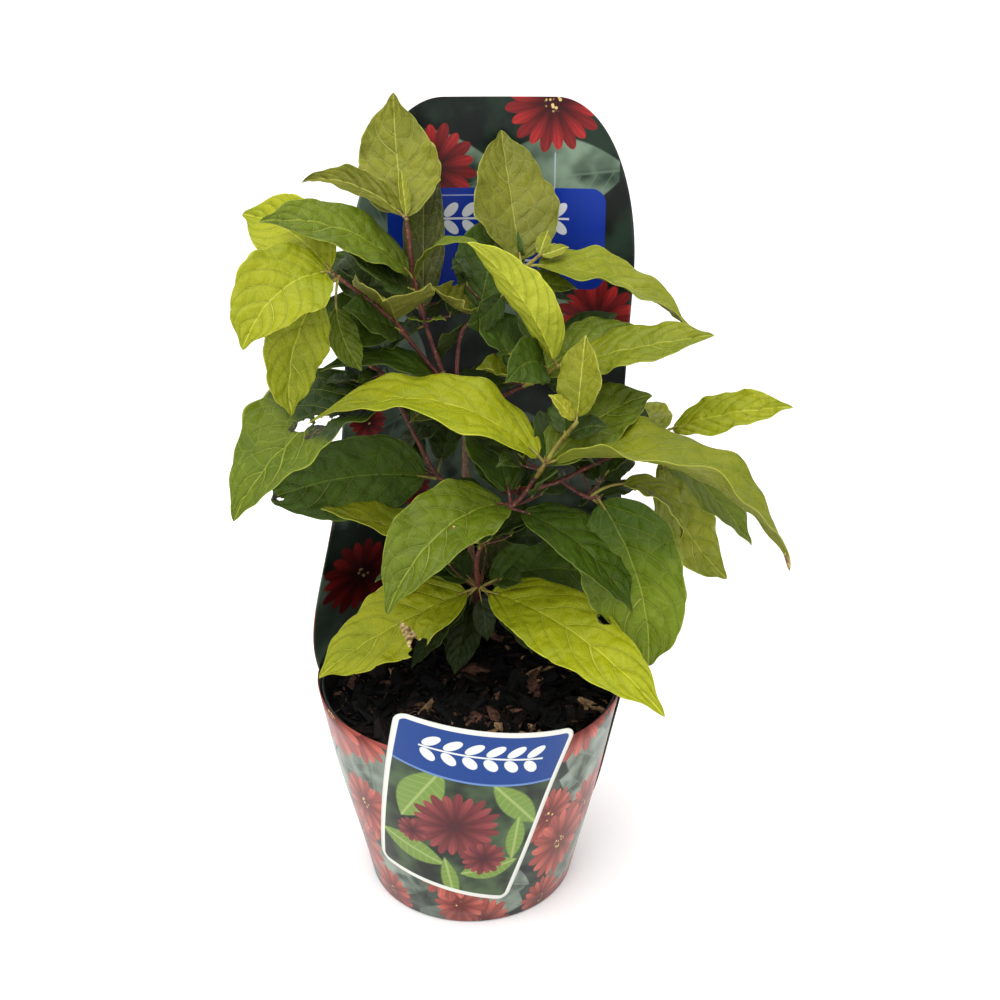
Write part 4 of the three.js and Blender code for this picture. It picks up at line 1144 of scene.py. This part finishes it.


# Leaf tones: upper side, its darker patches, which also colour the painted shade beside the veins, in the
# net's hollows and towards the foot, veins and margin, underside, and how strongly it is netted. Some leaves
# have a
# deeper painted shade towards the foot: the colour there, and between which shares of the blade it fades.
leafTones = {
    "crown": dict(body=(114, 115, 26), patch=(92, 97, 22), vein=(156, 156, 74), under=(112, 114, 44),
                  net=0.3),
    "fresh": dict(body=(120, 124, 12), patch=(94, 106, 10), vein=(160, 162, 60), under=(122, 126, 38),
                  net=0.24),
    "lime": dict(body=(136, 139, 8), patch=(112, 122, 6), vein=(170, 172, 56), under=(148, 152, 44),
                 net=0.24),
    "green": dict(body=(88, 102, 8), patch=(62, 78, 6), vein=(134, 142, 50), under=(104, 112, 36), net=0.3),
    "olive": dict(body=(108, 110, 20), patch=(82, 86, 16), vein=(150, 148, 64), under=(112, 112, 42),
                  net=0.3),
    # halfDark and shaded: painted shade towards the foot
    "halfDark": dict(body=(88, 103, 7), patch=(68, 85, 5), vein=(146, 156, 56), under=(104, 112, 36), net=0.3,
                     foot=(34, 52, 6), fade=(0.41, 0.5)),
    "shaded": dict(body=(92, 108, 8), patch=(66, 84, 6), vein=(134, 142, 50), under=(104, 112, 36), net=0.3,
                   foot=(50, 72, 5), fade=(0.1, 0.6)),
    "deep": dict(body=(56, 78, 6), patch=(36, 54, 4), vein=(94, 108, 34), under=(74, 88, 24), net=0.24),
    "dark": dict(body=(50, 68, 12), patch=(34, 50, 8), vein=(78, 92, 30), under=(58, 70, 20), net=0.22),
    "worn": dict(body=(66, 76, 16), patch=(44, 46, 12), vein=(118, 118, 52), under=(80, 82, 34), net=0.5),
    "young": dict(body=(122, 124, 20), patch=(104, 110, 16), vein=(176, 176, 80), under=(132, 136, 48),
                  net=0.2),
    "bud": dict(body=(150, 148, 40), patch=(132, 134, 30), vein=(186, 184, 84), under=(150, 150, 56),
                net=0.1),
}
leafBlade = {
    "swell": 0.62,       # power of the outline up to its widest place
    "sheet": 0.4,        # thickness
    "rows": 72, "columns": 32, "leastRows": 20, "leastColumns": 8,
    "small": 45,         # a shorter leaf has fewer veins and a coarser mesh
    "veinPairs": 7, "smallVeinPairs": 6,
    "veinLean": 0.2,     # how far a vein has run up the blade when it reaches the margin
    "quilting": 1.15,    # how far the blade is puffed up between two veins
    "fullRelief": 70,    # length from which a leaf has all its relief
    "ribDepth": 0.5, "strayVeins": 0.09, "scallop": 0.04, "waves": 2.6, "pinchedTip": 0.3, "uneven": 0.045,
    "ripple": 0.5, "leastHalf": 0.12, "firstSeed": 101,
}
meshDetail = {"large": 1.0, "small": 0.6, "fine": 0.36}
massStem = {"tip": 0.9, "rows": 36, "sides": 16, "sunk": 1.2}
stalks = {  # the first length that a leaf is longer than sets its stalk's radius
    "radii": ((60, 0.95), (30, 0.75), (0, 0.5)),
    "taper": 0.35, "steps": 8, "sides": 8, "intoBlade": 0.05,
    "sunk": {"stem": 1.0, "collar": 2.6, "twig": 0.4},
}
twigs = {"radii": (0.5, 0.45), "rows": 10, "sides": 8, "sunk": 0.12, "droop": -20}
redBark, greenBark = 0, 1  # the materials of every mass's twigs
up = np.array([0, 0, 1.0])


def leafAxes(leaf, foot, shares):  # the bent midrib, and the directions across the blade and out of its face
    heading = math.radians(leaf["heading"])
    along = np.array([math.cos(heading), math.sin(heading), 0])
    aside = np.array([-math.sin(heading), math.cos(heading), 0])
    if aside[1] < 0:
        aside = -aside
    shares = np.asarray(shares, dtype=float)[..., None]
    bend = math.radians(leaf["droop"]) or 1e-6
    start = math.radians(leaf["rise"]) + bend / 2
    slope = start - bend * shares
    forward = leaf["length"] * (math.sin(start) - np.sin(slope)) / bend
    upward = leaf["length"] * (np.cos(slope) - math.cos(start)) / bend
    centre = foot + along * forward + up * upward
    ahead = along * np.cos(slope) + up * np.sin(slope)
    out = -along * np.sin(slope) + up * np.cos(slope)
    face = math.radians(leaf["face"])
    across = aside * math.cos(face) + out * math.sin(face)
    normal = out * math.cos(face) - aside * math.sin(face)
    return centre, ahead, across, normal


def stalkShare(leaf):
    return leaf["stalk"] / leaf["length"]


def bladeOutline(leaf, shares):  # half widths along the leaf, as shares of the widest
    stalk, widest = stalkShare(leaf), leaf["widest"]
    blade = np.clip((np.asarray(shares) - stalk) / (1 - stalk), 0, 1)
    return (blade / widest) ** leafBlade["swell"] * ((1 - blade) / (1 - widest)) ** leaf["fall"]


def massPath(mass):
    path = limbPath(mass["after"])
    tip = curvePoint(path, 1) + curveTangent(path, 1) * 0.3
    return [tip, *[np.array(place, dtype=float) for place in mass["path"]]]


collarSize = {"wall": 1.4, "clearance": 0.7, "leafDepth": 0.6}


def leafFoot(mass, leaf):
    if "after" in mass:
        return curvePoint(massPath(mass), leaf["at"])
    limb, path, at = limbs[mass["on"]], limbPath(mass["on"]), mass["at"]
    centre, axis = curvePoint(path, at), curveTangent(path, at)
    inner = limbRadius(limb, at, curveLength(path) * at) + collarSize["clearance"]
    ahead = leafAxes(leaf, centre, 0.0)[1]
    sideways = ahead - axis * ahead.dot(axis)
    sideways /= np.linalg.norm(sideways)
    return centre + sideways * (inner + collarSize["wall"] * collarSize["leafDepth"])


# Inner leaves: opposite pairs that turn from joint to joint by a seeded rule. One that would touch another
# leaf, a limb or the board, or come out in front of the named leaves, is left out.
innerRule = {
    "seed": 5, "nodeTurn": 90, "clearance": 7, "ownClearance": 3, "size": (0.75, 1.15), "slimness": 0.5,
    "swing": 20, "rise": (-10, 45), "droop": (20, 80), "face": (0, 45), "frontward": -0.25,
}
fineRule = {  # short side shoots with two small leaves, which only the scene carries
    "seed": 23, "tries": 26, "most": 6, "mostAtCollar": 3, "clearance": 3.4,
    "reach": (0.05, 0.6), "rise": (-25, 50), "twig": (6, 20),
    "size": (16, 34), "slimness": 0.5, "spread": 48, "swing": 35, "tilt": (-25, 15), "droop": (10, 80),
    "face": (0, 50), "stalk": 2.5,
}
probeShares, probeSides = np.array([0.12, 0.3, 0.45, 0.6, 0.75, 0.88, 1]), np.linspace(-1, 1, 5)
fineShares, fineSides = np.linspace(0.15, 1, 14), np.linspace(-1, 1, 7)


def leafProbes(leaf, foot, shares=probeShares, sides=probeSides):
    centre, _, across, _ = leafAxes(leaf, foot, shares)
    half = leaf["width"] / 2 * bladeOutline(leaf, shares)
    offsets = sides[None, :, None] * half[:, None, None] * across[:, None, :]
    return (centre[:, None, :] + offsets).reshape(-1, 3)


def boardFront(place):
    radius, _, middle = boardSection(max(place[2], wrap["rim"]))
    side = min(abs(place[0] - middle) / radius, 1)
    return board["depth"] - radius + radius * math.sqrt(1 - side ** 2)


def clearOfBoard(probes, clearance):
    low = wrap["rim"] + clearance
    return all(probe[1] <= boardFront(probe) - clearance and probe[2] >= low for probe in probes)


def clearOf(probes, others, clearance):
    apart = ((probes[:, None, :] - others[None, :, :]) ** 2).sum(axis=2)
    return bool((apart >= clearance ** 2).all())


def comesForward(heading):
    return math.sin(math.radians(heading)) < innerRule["frontward"]


def seededRange(seed):  # gives a function that draws from a range, by the same rule as in the part's source
    state = seed

    def between(low, high):
        nonlocal state
        state = state * 16807 % 2147483647
        return low + (high - low) * (state / 2147483647)

    return between


def innerLeaf(between, mass, at, heading):
    length = mass["innerLength"] * between(*innerRule["size"])
    return leafOf(
        heading + between(-innerRule["swing"], innerRule["swing"]), between(*innerRule["rise"]),
        length, length * innerRule["slimness"], between(*innerRule["droop"]), between(*innerRule["face"]),
        "dark", at=at,
    )


def fineLeaf(between, heading, rise, side):
    length = between(*fineRule["size"])
    return leafOf(
        heading + side * (fineRule["spread"] + between(-1, 1) * fineRule["swing"]),
        rise + between(*fineRule["tilt"]), length, length * fineRule["slimness"],
        between(*fineRule["droop"]), between(*fineRule["face"]), "dark", stalk=fineRule["stalk"],
    )


def hasRoom(probes, name, taken):
    own, clearance = np.vstack(taken[name]), innerRule["clearance"]
    others = np.vstack([places for other, group in taken.items() if other != name for places in group])
    if not clearOfBoard(probes, clearance) or not clearOf(probes, own, innerRule["ownClearance"]):
        return False
    return clearOf(probes, others, clearance)


def growInnerLeaves():
    between = seededRange(innerRule["seed"])
    taken = {name: [leafProbes(leaf, leafFoot(mass, leaf)) for leaf in mass["leaves"].values()]
             for name, mass in masses.items()}
    for name, limb in limbs.items():
        path, count = limbPath(name), limb["steps"] * 2
        taken[name] = [np.array([curvePoint(path, step / count) for step in range(count + 1)])]
    for name, mass in masses.items():
        heading = between(0, 180)
        for pair in range(mass["pairs"]):
            heading += innerRule["nodeTurn"]
            for turn in (0, 180):
                grown = innerLeaf(between, mass, (pair + 0.5) / mass["pairs"], heading + turn)
                probes = leafProbes(grown, leafFoot(mass, grown))
                beyondFoot = probes[2 * len(probeSides):]
                if comesForward(grown["heading"]) or not hasRoom(beyondFoot, name, taken):
                    continue
                taken[name].append(probes)
                if f"inner{pair}at{turn}" not in mass.get("without", ()):
                    mass["leaves"][f"inner{pair}at{turn}"] = grown


def fineProbes(leaf, foot):
    return leafProbes(leaf, foot, fineShares, fineSides)


def growFineShoots():  # where there is room among the others
    between, clearance = seededRange(fineRule["seed"]), fineRule["clearance"]
    taken = np.vstack([fineProbes(leaf, leafFoot(mass, leaf))
                       for mass in masses.values() for leaf in mass["leaves"].values()])
    for mass in masses.values():
        mass["shoots"] = []
        most = fineRule["mostAtCollar" if "on" in mass else "most"]
        for _ in range(fineRule["tries"]):
            at, heading = between(*fineRule["reach"]), between(0, 360)
            rise, length = between(*fineRule["rise"]), between(*fineRule["twig"])
            shoot = leafOf(heading, rise, length, 0, twigs["droop"], 0, "dark", at=at)
            foot = leafFoot(mass, shoot)
            tip = leafAxes(shoot, foot, 1.0)[0]
            pair = [fineLeaf(between, heading, rise, side) for side in (-1, 1)]
            if comesForward(heading) or len(mass["shoots"]) == most:
                continue
            probes = [fineProbes(leaf, tip) for leaf in pair]
            free = [clearOfBoard(spots, clearance) and clearOf(spots, taken, clearance) for spots in probes]
            if not any(free):
                continue
            mass["shoots"].append((shoot, foot, tip, [leaf for leaf, isFree in zip(pair, free) if isFree]))
            taken = np.vstack([taken, *[spots for spots, isFree in zip(probes, free) if isFree]])


# One blade: a thin closed shell with quilting between its veins, a wavy margin and a rib underneath
def drawnHabit(roll):  # how one leaf differs from the next
    # shade is a slight random difference in tone, unless the leaf gives its own painted light or shade
    return dict(
        twist=roll.uniform(-12, 12), phases=roll.uniform(0, 2 * math.pi, 2), curl=roll.uniform(-0.08, 0.1),
        tipTurn=roll.uniform(-1.5, 3.0), shade=roll.uniform(0.93, 1.07),
    )


def bladeShell(leaf, foot, rows, columns, roll):
    own = {**drawnHabit(roll), **leaf}  # a leaf's own numbers stand before the drawn ones
    blade, side = bladeGrid(leaf, rows, columns)
    stalk = stalkShare(leaf)
    shares = stalk + (1 - stalk) * blade
    centre, ahead, across, normal = leafAxes(leaf, foot, shares)
    across, normal = twisted(across, normal, blade, own["twist"])
    vein, phase = veinsAt(leaf, blade, side), np.where(side < 0, *own["phases"])
    puff = np.abs(np.sin(vein * math.pi)) ** 0.8
    half = halfWidths(leaf, shares, blade, side, puff, phase)
    size = min(1.0, leaf["length"] / leafBlade["fullRelief"])
    lift = liftOf(own, size, half, blade, side, vein, puff, phase)
    top = centre + across * (side * half)[:, None] + normal * lift[:, None]
    rib = 0.75 * size * np.exp(-(side * half / 0.75) ** 2) * (1 - blade) ** 0.6
    bottom = top - normal * (leafBlade["sheet"] + rib)[:, None]
    faces, kinds = shellFaces(leaf, rows, columns)
    if np.dot(np.cross(across[0], ahead[0]), normal[0]) < 0:
        faces = [face[::-1] for face in faces]
    layers = {"veinUv": np.tile(np.column_stack([vein, side * half]), (2, 1)),
              "bladeUv": np.tile(np.column_stack([side, blade]), (2, 1)),
              "shadeUv": np.full((2 * len(top), 2), own["shade"])}
    return np.vstack([top, bottom]), faces, kinds, layers


def bladeGrid(leaf, rows, columns):  # corners inside a hole move out to its ragged edge
    grid = np.meshgrid(np.linspace(0, 1, rows + 1), np.linspace(-1, 1, columns + 1), indexing="ij")
    blade, side = [axis.ravel() for axis in grid]
    for place, offset, long, wide in leaf.get("holes", ()):
        x, y = (blade - place) / long, (side - offset) / wide
        angle = np.arctan2(y, x)
        reach = 1 + 0.16 * np.sin(5 * angle + 1) + 0.1 * np.sin(9 * angle)
        size = np.maximum(np.hypot(x, y), 1e-6) / reach
        push = np.where((size > 0.35) & (size < 1), 1 / size, 1.0)
        blade, side = place + x * push * long, offset + y * push * wide
    return np.clip(blade, 0, 1), np.clip(side, -1, 1)


def twisted(across, normal, blade, degrees):
    turn = np.radians(degrees * np.clip(blade - 0.25, 0, 1))[:, None]
    return across * np.cos(turn) + normal * np.sin(turn), normal * np.cos(turn) - across * np.sin(turn)


def veinsAt(leaf, blade, side):  # counts the veins along the blade: a whole number lies on one
    distance = np.abs(side)
    pairs = leafBlade["veinPairs" if leaf["length"] > leafBlade["small"] else "smallVeinPairs"]
    vein = pairs * (blade - leafBlade["veinLean"] * (distance + 0.75 * distance ** 3))
    return vein + leafBlade["strayVeins"] * np.sin(5.3 * vein + np.where(side < 0, 0.8, 2.9))


def halfWidths(leaf, shares, blade, side, puff, phase):
    pinch = 1 - leafBlade["pinchedTip"] * np.exp(-((blade - 0.93) / 0.06) ** 2)
    scallop = 1 + leafBlade["scallop"] * (puff - 0.5) * np.abs(side) ** 3
    half = leaf["width"] / 2 * bladeOutline(leaf, shares) * pinch * scallop
    return np.maximum(half, leafBlade["leastHalf"]) * (1 + leafBlade["uneven"] * np.sin(7 * blade + phase))


def liftOf(own, size, half, blade, side, vein, puff, phase):  # how far the blade stands out of its own plane
    distance, first, waves = np.abs(side), own["phases"][0], leafBlade["waves"]
    fold = math.tan(math.radians(own["fold"]))
    swing = np.sin(2 * math.pi * waves * blade + phase) + 0.4 * np.sin(4.6 * math.pi * waves * blade + phase)
    wave = own["wave"] * half * distance ** 2.5 * swing
    curl = own["curl"] * half * distance ** 2
    quilt = leafBlade["quilting"] * size * (puff - 0.6) * (1 - distance ** 8)
    quilt = quilt * np.minimum(1, half / 6) * (0.65 + 0.35 * np.sin(0.4 * half * side + 3.1 * vein + first))
    groove = leafBlade["ribDepth"] * size * np.exp(-(side * half / 0.9) ** 2)
    ripple = leafBlade["ripple"] * size * np.sin(0.33 * side * half + first)
    ripple = ripple * np.sin(0.27 * own["length"] * blade)
    tipDrop = own["tipTurn"] * np.clip((blade - 0.72) / 0.28, 0, 1) ** 2
    return distance * half * fold + wave + curl + quilt - groove + ripple - tipDrop


def fromPatch(blade, side, place, offset, long, wide):  # 1 on the patch's outline
    return ((blade - place) / long) ** 2 + ((side - offset) / wide) ** 2


def shellFaces(leaf, rows, columns):  # kind 0 is the upper skin, 1 the lower one, 2 scorched and 3 withered
    blade, side = np.meshgrid((np.arange(rows) + 0.5) / rows, (np.arange(columns) + 0.5) / columns * 2 - 1,
                              indexing="ij")
    kept, harm = np.ones((rows, columns), dtype=bool), np.zeros((rows, columns), dtype=int)
    for hole in leaf.get("holes", ()):
        kept &= fromPatch(blade, side, *hole) > 0.62
    ragged = 0.35 * np.sin(blade * 61) * np.sin(side * 17 + 2)
    for kind, patches in ((2, "scorches"), (3, "withered")):
        for patch in leaf.get(patches, ()):
            harm[fromPatch(blade, side, *patch) < 1 + ragged] = kind
    number = np.arange((rows + 1) * (columns + 1)).reshape(rows + 1, columns + 1)
    skin, around = number.size, np.pad(kept, 1)
    faces, kinds = [], []
    for row, column in zip(*np.nonzero(kept)):
        a, b = number[row, column], number[row, column + 1]
        c, d = number[row + 1, column + 1], number[row + 1, column]
        kind = int(harm[row, column])
        faces += [[a, b, c, d], [skin + d, skin + c, skin + b, skin + a]]
        kinds += [kind, kind or 1]
        edges = ((a, b, around[row, column + 1]), (b, c, around[row + 1, column + 2]),
                 (c, d, around[row + 2, column + 1]), (d, a, around[row + 1, column]))
        for first, last, goesOn in edges:
            if not goesOn:
                faces.append([last, first, skin + first, skin + last])
                kinds.append(0)
    return faces, kinds


def addLeaf(blades, stems, leaf, foot, detail, sunk, bark, seed):
    rows = max(leafBlade["leastRows"], int(leafBlade["rows"] * detail))
    columns = max(leafBlade["leastColumns"], int(leafBlade["columns"] * detail) // 2 * 2)
    corners, faces, kinds, layers = bladeShell(leaf, foot, rows, columns, np.random.default_rng(seed))
    tones = list(leafTones)
    ownSkins, harmedSkins = tones.index(leaf["tone"]) * 2, len(tones) * 2 - 2
    kinds = [kind + (harmedSkins if kind > 1 else ownSkins) for kind in kinds]
    blades.add(corners, faces, kinds, **layers)
    shares = np.linspace(-sunk / leaf["length"], stalkShare(leaf) + stalks["intoBlade"], stalks["steps"] + 1)
    thick = next(radius for length, radius in stalks["radii"] if leaf["length"] > length)
    radii = [thick * (1 - stalks["taper"] * step / stalks["steps"]) for step in range(stalks["steps"] + 1)]
    stems.add(*tube(leafAxes(leaf, foot, shares)[0], radii, stalks["sides"]), kind=bark)


def makeFoliage(youngBark):
    skins = leafSkins()
    barks = [youngBark, stemBark("leafStalk", (112, 92, 34), (138, 138, 50), 0.1)]
    seeds = itertools.count(leafBlade["firstSeed"])
    for name, mass in masses.items():
        blades, stems = MeshPile("veinUv", "bladeUv", "shadeUv"), MeshPile()
        bark = redBark if "redStalks" in mass else greenBark
        sunk = stalks["sunk"]["collar" if "on" in mass else "stem"]
        for leaf in mass["leaves"].values():
            usual = meshDetail["large" if leaf["length"] > leafBlade["small"] else "small"]
            detail = leaf.get("detail", usual)
            addLeaf(blades, stems, leaf, leafFoot(mass, leaf), detail, sunk, bark, next(seeds))
        for shoot, foot, tip, pair in mass["shoots"]:
            centres = leafAxes(shoot, foot, np.linspace(-twigs["sunk"], 1, twigs["rows"]))[0]
            radii = np.linspace(*twigs["radii"], twigs["rows"])
            stems.add(*tube(centres, radii, twigs["sides"]), kind=redBark)
            for leaf in pair:
                detail, sunk = meshDetail["fine"], stalks["sunk"]["twig"]
                addLeaf(blades, stems, leaf, tip, detail, sunk, greenBark, next(seeds))
        if "after" in mass:
            addMassStem(stems, mass)
        blades.make(name + "_leaves", skins, "leaf", [name])
        stems.make(name + "_twigs", barks, "young_stem", [name])
    print("leaves:", next(seeds) - leafBlade["firstSeed"])


def addMassStem(stems, mass):
    path, rows, sides = massPath(mass), massStem["rows"], massStem["sides"]
    centres = curvePoints(path, rows)
    centres[0] -= curveTangent(path, 0) * massStem["sunk"]
    radii = mass["foot"] + (massStem["tip"] - mass["foot"]) * np.linspace(0, 1, rows)
    relief = reliefOf(np.linspace(0, curveLength(path), rows), sides, barkRelief["furrow"]["young"])
    stems.add(*tube(centres, radii, sides, relief), kind=greenBark if "green" in mass else redBark)


def leafSkins():  # upper and lower side of each tone, then the scorched and the withered patches
    skins = []
    for tone, values in leafTones.items():
        skins += [leafSkin(tone + "LeafTop", values, True), leafSkin(tone + "LeafUnder", values, False)]
    scorched, place = startMaterial("scorchedLeaf", roughness=0.75)
    blotch = smoothStep(noiseOf(place, scale=380, detail=4), 0.35, 0.65)
    skins.append(finishMaterial(scorched, mixColours(blotch, colour(92, 60, 30), colour(208, 184, 124))))
    withered, place = startMaterial("witheredLeaf", roughness=0.7)
    flecks = smoothStep(noiseOf(place, scale=520), 0.4, 0.7)
    look = mixColours(flecks, colour(14, 20, 6), colour(84, 84, 24))
    return [*skins, finishMaterial(withered, look, flecks, depth=0.8)]


def leafSkin(name, values, isTop):
    material, place = startMaterial(name, roughness=0.5 if isTop else 0.62, specular=0.2)
    vein, across = uvOf(place.tree, "veinUv")
    side, blade = uvOf(place.tree, "bladeUv")
    # each leaf's shade scales its colour: painted light above 1, painted shade below 1, else a slight random
    # tone
    shade = uvOf(place.tree, "shadeUv")[0]
    edge, toVein = abs(side), maths("PINGPONG", vein, 0.5)
    veinLine = below(toVein, 0.008, 0.045) * (1 - smoothStep(edge, 0.5, 0.98) * 0.75)
    rib, margin = below(abs(across), 0.15, 0.45), smoothStep(edge, 0.972, 0.986)
    cells, mottled = cellsOf(place, 120), noiseOf(place, scale=420)
    patchy = smoothStep(noiseOf(place, scale=32), 0.36, 0.66)
    plain = values["body"] if isTop else values["under"]
    shaded = values["patch"] if isTop else [0.86 * tone for tone in plain]
    skin = mixColours(patchy * 0.7, colour(*plain), colour(*shaded))
    # painted shade in the troughs beside the veins and in the net's hollows, with random mottling
    troughShadeAndMottling = below(toVein, 0.02, 0.24) * 0.45 + smoothStep(mottled, 0.45, 0.75) * 0.18
    skin = mixColours(troughShadeAndMottling + below(cells, 0.0, 0.2) * 0.15, skin, colour(*values["patch"]))
    # painted shade towards the leaf's foot, deeper for the tones that give a foot colour
    footShade = below(blade, *values.get("fade", (0.0, 0.5))) * (1.0 if "fade" in values else 0.3)
    skin = mixColours(footShade, skin, colour(*values.get("foot", values["patch"])))
    net = below(cells, 0.008, 0.04) * (0.6 * values["net"])
    lines = largest(veinLine * 0.7, rib * 0.7, net, margin * 0.75) * (1 - footShade * 0.5)
    netted = mixColours(lines, skin, colour(*values["vein"]))
    sunk = veinLine * (0.8 if isTop else -0.8)
    crinkles = smoothStep(cellsOf(place, 620), 0.0, 0.35) * 0.15 + mottled * 0.2
    height = smoothStep(cells, 0.0, 0.4) - sunk + crinkles
    return finishMaterial(material, scaled(netted, shade), height, depth=0.8, strength=0.8)


makeSky()
makeSweep()
makeLamps()
makePot()
makeSoil()
print("pot and soil made")
makeWrap()
makeCard()
print("wrap and card made")
youngBark = makeLimbs()
growInnerLeaves()
growFineShoots()
makeFoliage(youngBark)
print("plant made")
